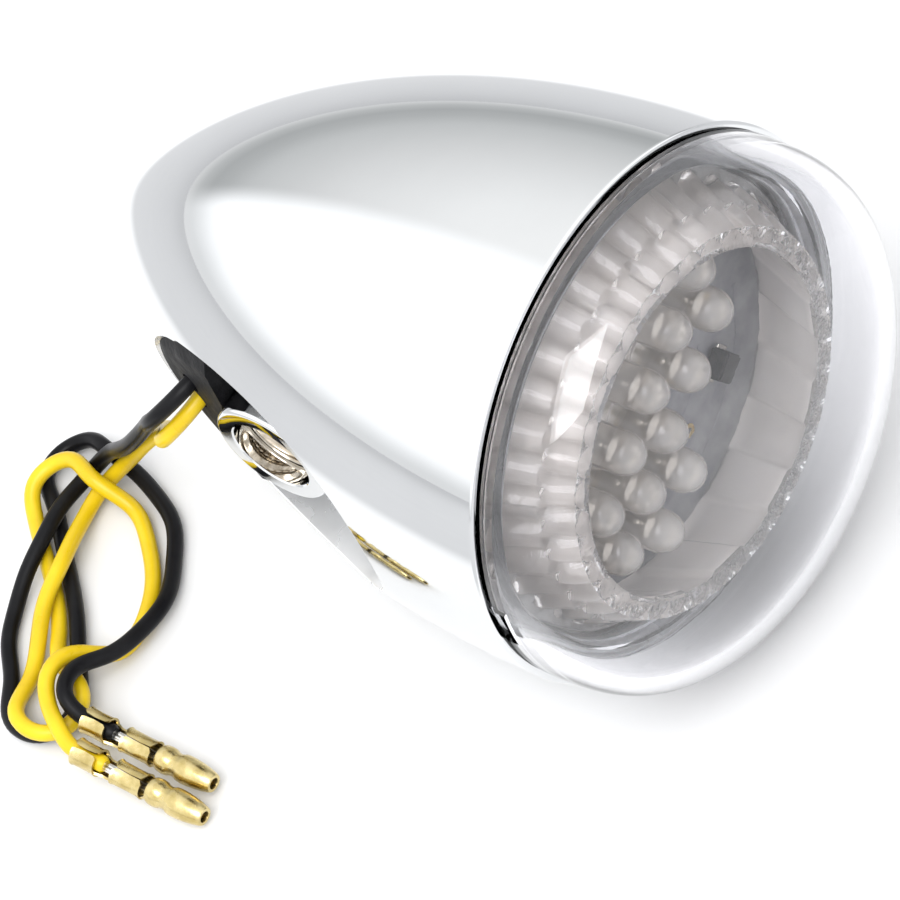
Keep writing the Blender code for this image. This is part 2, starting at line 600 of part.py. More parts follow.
# ---- wires outside the housing, and their bullet connectors ----
neck_start = CRIMP_LENGTH
barrel_start = neck_start + 0.0016
collar_start = barrel_start + BARREL_LENGTH
collar_end = collar_start + 0.0014
bullet_start = CONNECTOR_LENGTH - BULLET_LENGTH
waist = 0.8 * BULLET_RADIUS
connector_profile = [
    (0.55 * BULLET_TIP_RADIUS, CONNECTOR_LENGTH), (BULLET_TIP_RADIUS, CONNECTOR_LENGTH),
    (BULLET_RADIUS, bullet_start + 0.25 * BULLET_LENGTH), (BULLET_RADIUS, bullet_start),
    (waist, bullet_start - 0.0004), (waist, collar_end + 0.0004),
    (COLLAR_RADIUS, collar_end), (COLLAR_RADIUS, collar_start),
    (BARREL_RADIUS, collar_start - 0.0005), (BARREL_RADIUS, barrel_start),
    (CONNECTOR_NECK_RADIUS, barrel_start - 0.0003), (CONNECTOR_NECK_RADIUS, neck_start + 0.0003),
    (CRIMP_RADIUS, neck_start), (CRIMP_RADIUS, 0),
    (WIRE_HOLE_RADIUS, 0), (WIRE_HOLE_RADIUS, WIRE_IN_CRIMP + FIT), (0, WIRE_IN_CRIMP + FIT),
]
tip_hole = [(0, CONNECTOR_LENGTH - 0.0025), (0.55 * BULLET_TIP_RADIUS, CONNECTOR_LENGTH - 0.0025)]
for colour, route, finish in (
    ("black", BLACK_ROUTE, BLACK_PVC),
    ("yellow", YELLOW_ROUTE, YELLOW_PVC),
):
    line = smooth_curve(np.array(route) / 1000, WIRE_POINT_SPACING)
    tube(f"wire_{colour}", line, WIRE_DIAMETER, finish)
    connector = turned(f"connector_{colour}", tip_hole + connector_profile, SMALL_STEPS, BRASS)
    heading = (Vector(line[-1]) - Vector(line[-2])).normalized()
    connector.rotation_euler = heading.to_track_quat("Z", "Y").to_euler()
    connector.location = Vector(line[-1]) - WIRE_IN_CRIMP * heading

# ---- finish ----
bpy.context.view_layer.update()
for obj in list(parts.objects):
    if obj.type == "MESH":
        shade(obj)
for obj in list(cutters.objects):
    bpy.data.objects.remove(obj)
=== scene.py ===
"""Looks of a chromed bullet turn signal with a clear LED lens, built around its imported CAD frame."""
import math
import random

import bmesh
import bpy
import numpy as np
from mathutils import Matrix, Vector


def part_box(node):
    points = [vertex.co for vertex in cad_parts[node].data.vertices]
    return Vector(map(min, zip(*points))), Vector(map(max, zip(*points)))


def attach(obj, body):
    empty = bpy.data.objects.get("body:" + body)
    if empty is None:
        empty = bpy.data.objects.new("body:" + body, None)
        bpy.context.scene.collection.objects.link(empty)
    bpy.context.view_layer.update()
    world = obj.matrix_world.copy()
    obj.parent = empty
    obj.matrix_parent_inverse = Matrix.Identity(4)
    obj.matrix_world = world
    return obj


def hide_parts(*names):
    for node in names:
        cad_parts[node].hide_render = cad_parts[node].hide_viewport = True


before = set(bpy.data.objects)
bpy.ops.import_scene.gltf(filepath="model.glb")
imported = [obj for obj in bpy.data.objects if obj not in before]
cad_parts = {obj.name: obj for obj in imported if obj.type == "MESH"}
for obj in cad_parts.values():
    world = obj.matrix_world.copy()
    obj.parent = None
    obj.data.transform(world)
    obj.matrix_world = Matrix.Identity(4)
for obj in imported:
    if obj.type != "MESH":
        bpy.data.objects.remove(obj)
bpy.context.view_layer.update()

# ---- sizes, in metres; places come from the frame ----
FIT = 0.0003
housing_low, housing_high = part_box("housing")
HOUSING_RADIUS = (housing_high.x - housing_low.x) / 2
HOUSING_LENGTH = housing_high.y - housing_low.y
SEAM_Y = housing_low.y
TIP_Y = housing_high.y
AXIS_Z = (housing_low.z + housing_high.z) / 2
NOSE_TAPER = 2.15
NOSE_ROUND = 0.75
HOUSING_WALL = 0.0026
RIM_WALL = 0.0025
LEDGE_WIDTH = 0.0022
NOSE_SOLID = 0.010
MOUTH_RADIUS = HOUSING_RADIUS - RIM_WALL
CORE_RADIUS = MOUTH_RADIUS - LEDGE_WIDTH

LENS_PROUD = SEAM_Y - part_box("lens")[0].y
LENS_RADIUS = (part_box("lens")[1].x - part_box("lens")[0].x) / 2
LENS_WALL = 0.0022
LENS_SHOULDER = 3.65
LENS_CROWN = 2.66
SKIRT_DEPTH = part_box("lens")[1].y - SEAM_Y
SKIRT_RADIUS = MOUTH_RADIUS - FIT
SKIRT_INNER = SKIRT_RADIUS - 0.0020
SEAL_PLACE = 0.0022
SEAL_WIDTH = 0.0014
SEAL_DEPTH = 0.0009
NOTCH_WIDTH = 0.0055
NOTCH_HEIGHT = 0.0015
NOTCH_DEPTH = 0.0012

BOARD_FRONT = SEAM_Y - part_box("circuit_board")[0].y
BOARD_BACK = SEAM_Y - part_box("circuit_board")[1].y
BOARD_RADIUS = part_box("circuit_board")[1].x
LEDGE = BOARD_BACK - FIT
GUIDE_PROUD = SEAM_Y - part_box("light_guide")[0].y
GUIDE_BASE = SEAM_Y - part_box("light_guide")[1].y
GUIDE_FLANGE_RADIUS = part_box("light_guide")[1].x
GUIDE_FLANGE = 0.0020
GUIDE_SHOULDER = GUIDE_FLANGE_RADIUS - 0.0010
GUIDE_FRONT = GUIDE_SHOULDER - 0.0041
GUIDE_WALL = 0.0024

insert_low, insert_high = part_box("threaded_insert")
BOSS_Y = (insert_low.y + insert_high.y) / 2
BOSS_FACE = 0.0237
BOSS_RADIUS = 0.0074
BOSS_EDGE = 0.0005
INSERT_RADIUS = (insert_high.y - insert_low.y) / 2
INSERT_TOP = -insert_low.x
INSERT_BOTTOM = -insert_high.x
THREAD_MAJOR = 0.0079375
THREAD_MINOR = 0.0067
THREAD_PITCH = 0.001411

POCKET_STATION = 0.0383
POCKET_HALF_LENGTH = 0.0219
POCKET_HALF_WIDTH = 0.0128
POCKET_BULGE = 0.0024
POCKET_FLOOR = 0.0175
POCKET_WALL = 0.0022
POCKET_FILLET = 0.0020
POCKET_LIP = 0.00035
FAR = 0.045                      # past the bullet's surface, where cutters end
RIM_CHAMFER = 0.0004
MOUTH_CHAMFER = 0.0002
BOSS_BASE = 0.0025               # metal under the insert
BOSS_ROOT = 0.005                # the core's inner end, from the bullet's axis
BORE_CHAMFER = 0.00018

GROMMET_REAR = 0.0195            # stations from the tip
GROMMET_FRONT = 0.0330
GROMMET_LOW = 0.0005             # rises above the recess's floor
GROMMET_HIGH = 0.0047
GROMMET_SUNK = 0.0004            # below the bullet's surface
NECK_RADIUS = 0.0036
NECK_PROUD = 0.0006
WIRE_HOLE = 0.0013
WIRE_RISE = 0.0015               # half the spacing of the two wires

WIRE_DIAMETER = 0.0020
WIRE_EXIT = (-0.0199, TIP_Y - 0.02535)
WIRE_IN_CRIMP = 0.0030

LED_RADIUS = 0.0025
LED_RIM_RADIUS = 0.0029
LED_RIM_HEIGHT = 0.0010
LED_BODY_HEIGHT = 0.0061
LED_ROW_ANGLE = math.radians(28.7)

# ---- camera ----
CAMERA_PLACE = Vector((-0.26156, -0.39848, 0.56804))
CAMERA_RIGHT = Vector((0.55793, -0.77323, -0.30138))
CAMERA_UP = Vector((0.75240, 0.31807, 0.57682))
CAMERA_BACK = Vector((-0.35015, -0.54859, 0.75924))
camera_data = bpy.data.cameras.new("camera")
camera_data.sensor_width = 36
camera_data.lens = 255.4
camera_data.clip_end = 20
camera = bpy.data.objects.new("camera", camera_data)
bpy.context.scene.collection.objects.link(camera)
turn = Matrix((CAMERA_RIGHT, CAMERA_UP, CAMERA_BACK)).transposed()
camera.matrix_world = Matrix.Translation(CAMERA_PLACE) @ turn.to_4x4()
bpy.context.scene.camera = camera


# ---- materials ----
def material(name, **sockets):
    """A Principled BSDF whose own sockets are set, and its node tree for adding detail."""
    made = bpy.data.materials.new(name)
    made.use_nodes = True
    tree = made.node_tree
    shader = tree.nodes["Principled BSDF"]
    for socket, value in sockets.items():
        shader.inputs[socket.replace("_", " ").title().replace("Ior", "IOR")].default_value = value
    return made, tree, shader


def noise(tree, scale, detail=4.0, rough=0.55, stretch=(1, 1, 1)):
    place = tree.nodes.new("ShaderNodeTexCoord")
    fit = tree.nodes.new("ShaderNodeMapping")
    fit.inputs["Scale"].default_value = stretch
    made = tree.nodes.new("ShaderNodeTexNoise")
    made.inputs["Scale"].default_value = scale
    made.inputs["Detail"].default_value = detail
    made.inputs["Roughness"].default_value = rough
    tree.links.new(place.outputs["Object"], fit.inputs["Vector"])
    tree.links.new(fit.outputs["Vector"], made.inputs["Vector"])
    return made.outputs["Fac"]


def ramp(tree, value, stops):
    made = tree.nodes.new("ShaderNodeValToRGB")
    elements = made.color_ramp.elements
    while len(elements) < len(stops):
        elements.new(0.5)
    for element, (position, colour) in zip(elements, stops):
        element.position = position
        element.color = (*colour, 1)
    tree.links.new(value, made.inputs["Fac"])
    return made.outputs["Color"]


def spread(tree, value, low, high):
    made = tree.nodes.new("ShaderNodeMapRange")
    made.inputs["From Min"].default_value = 0.3
    made.inputs["From Max"].default_value = 0.7
    made.inputs["To Min"].default_value = low
    made.inputs["To Max"].default_value = high
    tree.links.new(value, made.inputs["Value"])
    return made.outputs["Result"]


def bump(tree, shader, value, strength, distance):
    made = tree.nodes.new("ShaderNodeBump")
    made.inputs["Strength"].default_value = strength
    made.inputs["Distance"].default_value = distance
    tree.links.new(value, made.inputs["Height"])
    tree.links.new(made.outputs["Normal"], shader.inputs["Normal"])


def detailed(name, light, dark, rough, grain, bumps=None, stretch=(1, 1, 1), **sockets):
    """A material whose colour and roughness vary with a grain of this scale."""
    made, tree, shader = material(name, **sockets)
    pattern = noise(tree, grain, stretch=stretch)
    tree.links.new(ramp(tree, pattern, [(0.35, dark), (0.65, light)]), shader.inputs["Base Color"])
    tree.links.new(spread(tree, pattern, *rough), shader.inputs["Roughness"])
    if bumps:
        scale, strength, distance = bumps
        bump(tree, shader, noise(tree, scale, stretch=stretch), strength, distance)
    return made


CHROME = detailed("chrome_plate", (0.725, 0.735, 0.74), (0.70, 0.71, 0.715), (0.02, 0.05), 60, metallic=1.0)
RECESS_CHROME = detailed(
    "recess_chrome", (0.84, 0.845, 0.85), (0.79, 0.795, 0.80), (0.22, 0.34), 120,
    (500, 0.08, 0.0001), metallic=0.55,
)
BORE_STEEL = detailed("bore_steel", (0.10, 0.075, 0.05), (0.04, 0.03, 0.02), (0.3, 0.5), 300, metallic=1.0)
BRASS = detailed(
    "stamped_brass", (0.72, 0.60, 0.30), (0.50, 0.39, 0.15), (0.16, 0.36), 500,
    (2500, 0.25, 0.00006), metallic=1.0,
)
GILT = detailed("gilt_pad", (0.88, 0.72, 0.42), (0.76, 0.60, 0.33), (0.2, 0.35), 900, metallic=1.0)
STEEL = detailed(
    "plated_steel", (0.66, 0.58, 0.47), (0.42, 0.35, 0.26), (0.10, 0.26), 700,
    (3000, 0.2, 0.00004), metallic=1.0,
)
TIN = detailed("tinned_lead", (0.80, 0.79, 0.76), (0.62, 0.60, 0.56), (0.15, 0.3), 1500, metallic=1.0)
SOLDER = detailed("solder_bead", (0.80, 0.80, 0.81), (0.62, 0.62, 0.64), (0.15, 0.4), 900, metallic=1.0)
LENS_CLEAR = detailed(
    "lens_polycarbonate", (0.955, 0.955, 0.975), (0.935, 0.935, 0.955), (0.0, 0.025), 90,
    (160, 0.04, 0.0002), transmission_weight=1.0, ior=1.49,
)
GUIDE_CLEAR = detailed(
    "guide_polycarbonate", (0.99, 0.965, 0.94), (0.96, 0.92, 0.88), (0.01, 0.08), 260,
    (420, 0.3, 0.0003), transmission_weight=0.93, ior=1.49,
)
GUIDE_INNER = detailed(
    "guide_inner_wall", (0.99, 0.94, 0.90), (0.92, 0.86, 0.81), (0.08, 0.2), 90,
    (500, 0.1, 0.0001), transmission_weight=0.15, ior=1.49,
)
LED_CLEAR = detailed(
    "led_epoxy", (0.99, 0.95, 0.90), (0.95, 0.89, 0.82), (0.05, 0.16), 400,
    (900, 0.1, 0.00005), transmission_weight=0.7, ior=1.5,
)
SILICONE = detailed(
    "pale_silicone", (0.86, 0.86, 0.84), (0.76, 0.76, 0.74), (0.35, 0.55), 350,
    (1400, 0.4, 0.0001), subsurface_weight=0.1,
)
RUBBER = detailed(
    "moulded_rubber", (0.016, 0.016, 0.017), (0.005, 0.005, 0.006), (0.45, 0.75), 350,
    (1400, 0.6, 0.00015), specular_ior_level=0.10,
)
BOARD = detailed(
    "solder_mask", (0.34, 0.34, 0.35), (0.20, 0.205, 0.22), (0.3, 0.5), 240,
    (900, 0.15, 0.00005),
)
INK = detailed("legend_ink", (0.75, 0.75, 0.74), (0.60, 0.60, 0.60), (0.5, 0.7), 1200)
CERAMIC = detailed(
    "chip_body", (0.16, 0.20, 0.22), (0.07, 0.10, 0.12), (0.25, 0.45), 1100,
    (2500, 0.3, 0.00003),
)
EPOXY_CASE = detailed(
    "moulded_case", (0.05, 0.05, 0.05), (0.02, 0.02, 0.02), (0.4, 0.6), 900,
    (2500, 0.4, 0.00003),
)
PVC_BLACK = detailed(
    "pvc_black", (0.007, 0.007, 0.008), (0.003, 0.003, 0.004), (0.28, 0.42), 160,
    (700, 0.12, 0.00008), specular_ior_level=0.13,
)
PVC_YELLOW = detailed(
    "pvc_yellow", (0.70, 0.50, 0.010), (0.60, 0.41, 0.005), (0.26, 0.40), 160,
    (700, 0.12, 0.00008), specular_ior_level=0.35,
)


# Painted pool of light on the floor: pale out to the first distance, painted shade from the second.
FLOOR_PAINTED_POOL_TO = 0.100            # distances from the floor plane's middle
FLOOR_PAINTED_SHADE_FROM = 0.128


def floor_material():
    """Pale round the object, then painted grey just past the camera's view: a painted pool of light with
    painted shade beyond it, for the chrome to reflect.
    """
    made, tree, shader = material("floor_painted_light_pool")
    place = tree.nodes.new("ShaderNodeTexCoord")
    reach = tree.nodes.new("ShaderNodeVectorMath")
    reach.operation = "LENGTH"
    tree.links.new(place.outputs["Object"], reach.inputs[0])
    fade = tree.nodes.new("ShaderNodeMapRange")
    fade.interpolation_type = "SMOOTHSTEP"
    fade.inputs["From Min"].default_value = FLOOR_PAINTED_POOL_TO
    fade.inputs["From Max"].default_value = FLOOR_PAINTED_SHADE_FROM
    tree.links.new(reach.outputs["Value"], fade.inputs["Value"])
    # Painted light: pale floor colour near the middle, painted shade in grey farther out.
    tone = ramp(tree, fade.outputs["Result"], [(0.0, (0.72, 0.72, 0.72)), (1.0, (0.48, 0.48, 0.485))])
    tree.links.new(tone, shader.inputs["Base Color"])
    tree.links.new(spread(tree, noise(tree, 40), 0.7, 0.85), shader.inputs["Roughness"])
    return made


FLOOR = floor_material()


# ---- making pieces ----
def forward(radius, angle, ahead):
    """A point about the bullet's axis, ahead of the seam."""
    return (radius * math.cos(angle), SEAM_Y - ahead, AXIS_Z + radius * math.sin(angle))


def outward(radius, angle, out):
    """A point about the boss's axis, out from the bullet's axis."""
    return (-out, BOSS_Y + radius * math.cos(angle), AXIS_Z + radius * math.sin(angle))


def straight(radius, angle, height):
    return (radius * math.cos(angle), radius * math.sin(angle), height)


def object_from(name, points, faces, finish=None, smooth=35):
    mesh = bpy.data.meshes.new(name)
    mesh.from_pydata(points, [], faces)
    shape = bmesh.new()
    shape.from_mesh(mesh)
    bmesh.ops.recalc_face_normals(shape, faces=shape.faces)
    shape.to_mesh(mesh)
    shape.free()
    obj = bpy.data.objects.new(name, mesh)
    bpy.context.scene.collection.objects.link(obj)
    if finish:
        mesh.materials.append(finish)
    if smooth:
        mesh.shade_smooth()
        mesh.set_sharp_from_angle(angle=math.radians(smooth))
    return obj


def lathe(name, profile, steps, finish=None, place=forward, ring=False, smooth=35, shape=None):
    """Turns (radius, height) points about an axis. shape(angle, k, radius, height) may move each
    point. A ring's profile closes on itself."""
    points, rows, faces = [], [], []
    for k, (radius, height) in enumerate(profile):
        if radius < 1e-7:
            rows.append([len(points)])
            points.append(place(0, 0, height))
            continue
        rows.append(list(range(len(points), len(points) + steps)))
        for i in range(steps):
            angle = 2 * math.pi * i / steps
            r, h = shape(angle, k, radius, height) if shape else (radius, height)
            points.append(place(r, angle, h))
    pairs = list(zip(rows, rows[1:]))
    if ring:
        pairs.append((rows[-1], rows[0]))
    for upper, lower in pairs:
        for i in range(steps):
            j = (i + 1) % steps
            if len(upper) == 1:
                faces.append((upper[0], lower[i], lower[j]))
            elif len(lower) == 1:
                faces.append((upper[i], lower[0], upper[j]))
            else:
                faces.append((upper[i], lower[i], lower[j], upper[j]))
    return object_from(name, points, faces, finish, smooth)


def drum(name, radius, top, bottom, steps, place, smooth=0):
    """A plain closed cylinder, for cutting and joining."""
    profile = [(0, top), (radius, top), (radius, bottom), (0, bottom)]
    return lathe(name, profile, steps, None, place, smooth=smooth)


def rounded_edge(radius, height, edge, count):
    """A quarter round from the top face out to the side of a turned shape."""
    return [
        (radius - edge * (1 - math.sin(a)), height - edge * (1 - math.cos(a)))
        for a in np.linspace(0, math.pi / 2, count)
    ]


def shade(obj, angle):
    obj.data.shade_smooth()
    obj.data.set_sharp_from_angle(angle=math.radians(angle))


def moved(piece, place):
    piece.matrix_basis = Matrix.Translation(place)
    return piece


def loft(name, rings, finish=None, smooth=35, caps=True):
    """A skin over rings of equally many points."""
    count = len(rings[0])
    points = [point for ring in rings for point in ring]
    faces = []
    for k in range(len(rings) - 1):
        for i in range(count):
            j = (i + 1) % count
            low, high = k * count, (k + 1) * count
            faces.append((low + i, low + j, high + j, high + i))
    if caps:
        faces.append(tuple(range(count)))
        faces.append(tuple(range(len(points) - count, len(points))))
    return object_from(name, points, faces, finish, smooth)


def rounded_box(name, size, finish, edge=0.0001, segments=2):
    """A box that stands on its own origin, with rounded edges."""
    x, y, z = (side / 2 for side in size)
    rings = [[(-x, -y, h), (x, -y, h), (x, y, h), (-x, y, h)] for h in (0, 2 * z)]
    obj = loft(name, rings, finish, smooth=0)
    shape = bmesh.new()
    shape.from_mesh(obj.data)
    bmesh.ops.bevel(shape, geom=list(shape.edges), offset=edge, segments=segments, affect="EDGES")
    shape.to_mesh(obj.data)
    shape.free()
    shade(obj, 50)
    return obj


def boolean(obj, tool, operation="DIFFERENCE"):
    step = obj.modifiers.new(tool.name, "BOOLEAN")
    step.operation = operation
    step.solver = "EXACT"
    step.object = tool
    graph = bpy.context.evaluated_depsgraph_get()
    mesh = bpy.data.meshes.new_from_object(obj.evaluated_get(graph))
    obj.modifiers.clear()
    obj.data = mesh
    bpy.data.objects.remove(tool)


def joined(name, pieces):
    """One mesh object from several, which keeps each piece's own materials."""
    shape = bmesh.new()
    mesh = bpy.data.meshes.new(name)
    for piece in pieces:
        for finish in piece.data.materials:
            if finish.name not in mesh.materials:
                mesh.materials.append(finish)
        part = piece.data.copy()
        part.transform(piece.matrix_basis)
        index = [mesh.materials.find(finish.name) for finish in piece.data.materials]
        before = len(shape.faces)
        shape.from_mesh(part)
        shape.faces.ensure_lookup_table()
        for face in shape.faces[before:]:
            face.material_index = index[face.material_index] if index else 0
        bpy.data.objects.remove(piece)
    shape.to_mesh(mesh)
    shape.free()
    obj = bpy.data.objects.new(name, mesh)
    bpy.context.scene.collection.objects.link(obj)
    return obj


def finished(obj, body, slot, *nodes):
    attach(obj, body)
    if nodes:
        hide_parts(*nodes)
    return obj


def face_forward(obj, across, above, ahead, spin=0.0):
    """Stands a piece made on its own origin on the board, looking out of the lens."""
    obj.rotation_euler = (math.pi / 2, spin, 0)
    obj.location = (across, SEAM_Y - ahead, AXIS_Z + above)
    bpy.context.view_layer.update()


def smooth_curve(route, spacing):
    """Evenly spaced points on a natural cubic spline through the route's points."""
    knots = np.array(route, dtype=float)
    steps = np.linalg.norm(np.diff(knots, axis=0), axis=1)
    count = len(knots)
    system = np.eye(count)
    change = np.zeros((count, 3))
    for i in range(1, count - 1):
        before, after = steps[i - 1], steps[i]
        system[i, i - 1:i + 2] = before, 2 * (before + after), after
        change[i] = 6 * ((knots[i + 1] - knots[i]) / after - (knots[i] - knots[i - 1]) / before)
    bend = np.linalg.solve(system, change)
    fine = [knots[:1]]
    for i, step in enumerate(steps):
        t = np.linspace(0, step, 13)[1:, None]
        left, right = step - t, t
        piece = (bend[i] * left**3 + bend[i + 1] * right**3) / (6 * step)
        piece = piece + (knots[i] / step - bend[i] * step / 6) * left
        piece = piece + (knots[i + 1] / step - bend[i + 1] * step / 6) * right
        fine.append(piece)
    line = np.concatenate(fine)
    run = np.concatenate(([0], np.cumsum(np.linalg.norm(np.diff(line, axis=0), axis=1))))
    places = np.linspace(0, run[-1], max(2, round(run[-1] / spacing)) + 1)
    return np.stack([np.interp(places, run, line[:, k]) for k in range(3)], axis=1)


# ---- the two leads' routes, in millimetres ----
BLACK_ROUTE = (
    (-17.5, 22.0, 34.0), (-18.9, 22.0, 34.0), (-20.4, 22.2, 33.9), (-24.1, 26.8, 29.4),
    (-21.9, 31.1, 24.1), (-21.8, 37.4, 16.5), (-20.5, 44.1, 9.5), (-20.7, 49.7, 3.5),
    (-22.5, 50.6, 2.6), (-27.4, 50.5, 3.1), (-31.6, 49.5, 3.5), (-36.2, 49.0, 2.6),
    (-40.7, 47.9, 1.4), (-45.2, 45.5, 1.3), (-49.1, 42.1, 1.1), (-53.4, 38.8, 1.1),
    (-53.8, 34.3, 1.1), (-51.3, 32.1, 1.1), (-47.7, 32.6, 1.1), (-43.9, 35.5, 1.1),
    (-39.2, 39.2, 1.7), (-34.5, 44.0, 1.5), (-30.1, 49.0, 1.1), (-26.1, 53.6, 1.1),
    (-23.0, 56.9, 1.1), (-19.8, 56.9, 1.2), (-17.4, 53.9, 2.2), (-18.0, 50.3, 3.1),
    (-18.6, 46.1, 1.6), (-20.2, 41.5, 1.1), (-22.8, 36.9, 1.2), (-27.0, 33.6, 1.2),
    (-31.8, 30.8, 1.8), (-37.2, 30.1, 2.8), (-42.5, 31.1, 4.0), (-46.1, 32.5, 5.4),
    (-49.7, 31.0, 5.6), (-50.5, 28.8, 4.4), (-50.6, 26.6, 3.9), (-50.6, 24.6, 3.7),
)
YELLOW_ROUTE = (
    (-17.5, 22.0, 31.0), (-18.9, 22.0, 31.0), (-20.4, 22.1, 30.8), (-24.1, 26.3, 26.2),
    (-20.6, 30.4, 21.4), (-20.0, 36.4, 15.3), (-19.5, 42.1, 8.6), (-20.1, 46.6, 3.5),
    (-22.8, 48.0, 2.1), (-26.4, 47.7, 1.9), (-30.4, 46.1, 3.1), (-34.5, 44.6, 3.8),
    (-39.3, 43.6, 3.1), (-44.1, 41.5, 1.9), (-48.5, 39.5, 1.7), (-53.5, 36.8, 3.2),
    (-54.2, 33.0, 3.0), (-51.3, 30.3, 2.6), (-47.6, 31.3, 3.0), (-45.2, 36.4, 2.9),
    (-41.4, 40.5, 1.3), (-36.7, 44.9, 1.1), (-32.4, 50.1, 1.1), (-28.8, 54.2, 1.6),
    (-26.0, 55.8, 3.0), (-23.1, 54.9, 3.8), (-21.8, 52.1, 4.8), (-23.0, 48.0, 5.0),
    (-23.2, 42.6, 1.8), (-25.9, 38.6, 1.2), (-29.4, 35.1, 1.1), (-34.0, 32.4, 1.1),
    (-40.4, 31.9, 1.4), (-45.0, 34.8, 5.3), (-48.5, 34.7, 5.8), (-51.4, 32.6, 4.8),
    (-53.1, 30.0, 5.0), (-54.5, 27.0, 4.1), (-54.6, 25.0, 3.9), (-54.6, 23.0, 3.7),
)


def wire_tube(name, line, finish):
    curve = bpy.data.curves.new(name, "CURVE")
    curve.dimensions = "3D"
    curve.bevel_depth = WIRE_DIAMETER / 2
    curve.bevel_resolution = 6
    curve.use_fill_caps = True
    spline = curve.splines.new("POLY")
    spline.points.add(len(line) - 1)
    for point, (x, y, z) in zip(spline.points, line):
        point.co = (x, y, z, 1)
    spline.use_smooth = True
    obj = bpy.data.objects.new(name, curve)
    bpy.context.scene.collection.objects.link(obj)
    curve.materials.append(finish)
    return obj


def open_band(z, radius, wall, gap, squash=1.0):
    """A rolled strip's section at height z: an open band, its gap on top, squashed flat."""
    half = math.radians(180 - gap / 2)
    inside = radius - wall
    outer = [(radius * math.sin(a), -radius * math.cos(a)) for a in np.linspace(-half, half, 25)]
    inner = [(inside * math.sin(a), -inside * math.cos(a)) for a in np.linspace(half, -half, 25)]
    return [(x, y * squash, z) for x, y in outer + inner]


def connector(name, line, finish):
    """A crimped brass bullet connector along its own Z axis, from the wire to its tip."""
    wall = 0.00028
    crimp = loft("crimp", [
        open_band(0.0000, 0.00172, wall, 30), open_band(0.0003, 0.00162, wall, 18),
        open_band(0.0016, 0.00159, wall, 10), open_band(0.0030, 0.00162, wall, 16),
        open_band(0.0034, 0.00172, wall, 34),
    ], BRASS, 40)
    bridge = loft("bridge", [
        open_band(0.0032, 0.00160, wall, 190), open_band(0.0042, 0.00140, wall, 230),
        open_band(0.0052, 0.00140, wall, 230), open_band(0.0062, 0.00150, wall, 190),
    ], BRASS, 40)
    barrel = loft("barrel", [
        open_band(0.0058, 0.00166, wall, 40, 0.86), open_band(0.0062, 0.00156, wall, 6, 0.80),
        open_band(0.0082, 0.00154, wall, 4, 0.74), open_band(0.0096, 0.00156, wall, 6, 0.80),
        open_band(0.0101, 0.00166, wall, 44, 0.88),
    ], BRASS, 40)
    tongue = loft("tongue", [
        open_band(0.0100, 0.00150, wall, 200), open_band(0.0107, 0.00140, wall, 150),
        open_band(0.0113, 0.00150, wall, 60),
    ], BRASS, 40)
    length, tip, thick = 0.0186, 0.00098, 0.00026
    shell = [
        (0.00120, 0.0110), (0.00150, 0.0109), (0.00164, 0.0112), (0.00170, 0.0118),
        (0.00164, 0.0124), (0.00146, 0.0128), (0.00142, 0.0132), (0.00150, 0.0137),
        (0.00166, 0.0140), (0.00171, 0.0145), (0.00170, 0.0152), (0.00160, 0.0164),
        (0.00142, 0.0175), (0.00120, length - 0.00020), (0.00108, length), (tip - thick, length),
        (tip - thick - 0.0001, length - 0.0004), (0.00105, 0.0170), (0.00125, 0.0150),
        (0.00118, 0.0135), (0.00118, 0.0125),
    ]
    bullet = lathe("bullet", shell, 48, BRASS, straight, ring=True, smooth=40)
    core_profile = [(0, 0.0152), (0.0010, 0.0150), (0.0011, 0.0112), (0, 0.0110)]
    core = lathe("core", core_profile, 24, BRASS, straight)
    strands = []
    for i in range(7):
        angle = 2 * math.pi * i / 6
        reach = 0.00042 if i < 6 else 0.0
        x, y = reach * math.cos(angle), reach * math.sin(angle)
        rings = []
        for k in range(15):
            z = 0.0034 + 0.0075 * k / 14
            twist = 0.9 * k / 14
            cx = x * math.cos(twist) - y * math.sin(twist)
            cy = x * math.sin(twist) + y * math.cos(twist)
            rings.append([
                (cx + 0.00021 * math.cos(a), cy - 0.0004 + 0.00021 * math.sin(a), z)
                for a in np.linspace(0, 2 * math.pi, 9)[:-1]
            ])
        strands.append(loft(f"strand_{i}", rings, TIN, 60))
    collar_profile = [(0, 0.0041), (0.0007, 0.0042), (0.00100, 0.0038), (0.00102, WIRE_IN_CRIMP)]
    collar_profile += [(0, WIRE_IN_CRIMP - 0.0001)]
    collar = lathe("collar", collar_profile, 24, finish, straight)
    made = joined(name, [crimp, bridge, barrel, tongue, bullet, core, collar, *strands])
    shade(made, 40)
    heading = (Vector(line[-1]) - Vector(line[-3])).normalized()
    place = Vector(line[-1]) - WIRE_IN_CRIMP * heading
    made.matrix_world = Matrix.Translation(place) @ heading.to_track_quat("Z", "Y").to_matrix().to_4x4()
    bpy.context.view_layer.update()
    return made


# ---- wires and their connectors ----
for colour, route, rise, finish in (
    ("black", BLACK_ROUTE, WIRE_RISE, PVC_BLACK),
    ("yellow", YELLOW_ROUTE, -WIRE_RISE, PVC_YELLOW),
):
    line = smooth_curve(np.array(route) / 1000, 0.0007)
    wire = wire_tube(f"lead_wire_{colour}", line, finish)
    finished(wire, "housing", f"{colour}_pvc", f"wire_{colour}")
    plug = connector(f"bullet_connector_{colour}", line, finish)
    finished(plug, "housing", "brass", f"connector_{colour}")


# ---- housing ----
def housing_radius(ahead, inset=0.0):
    toward_tip = min(1.0, max(0.0, -ahead / HOUSING_LENGTH))
    return HOUSING_RADIUS * (1 - toward_tip**NOSE_TAPER) ** NOSE_ROUND - inset


def nose_curve(count, inset=0.0):
    reach = HOUSING_LENGTH - inset
    points = []
    for i in range(1, count):
        ahead = -reach * math.sin(0.5 * math.pi * i / count)
        if housing_radius(ahead, inset) > 0:
            points.append((housing_radius(ahead, inset), ahead))
    return points + [(0, -reach)]


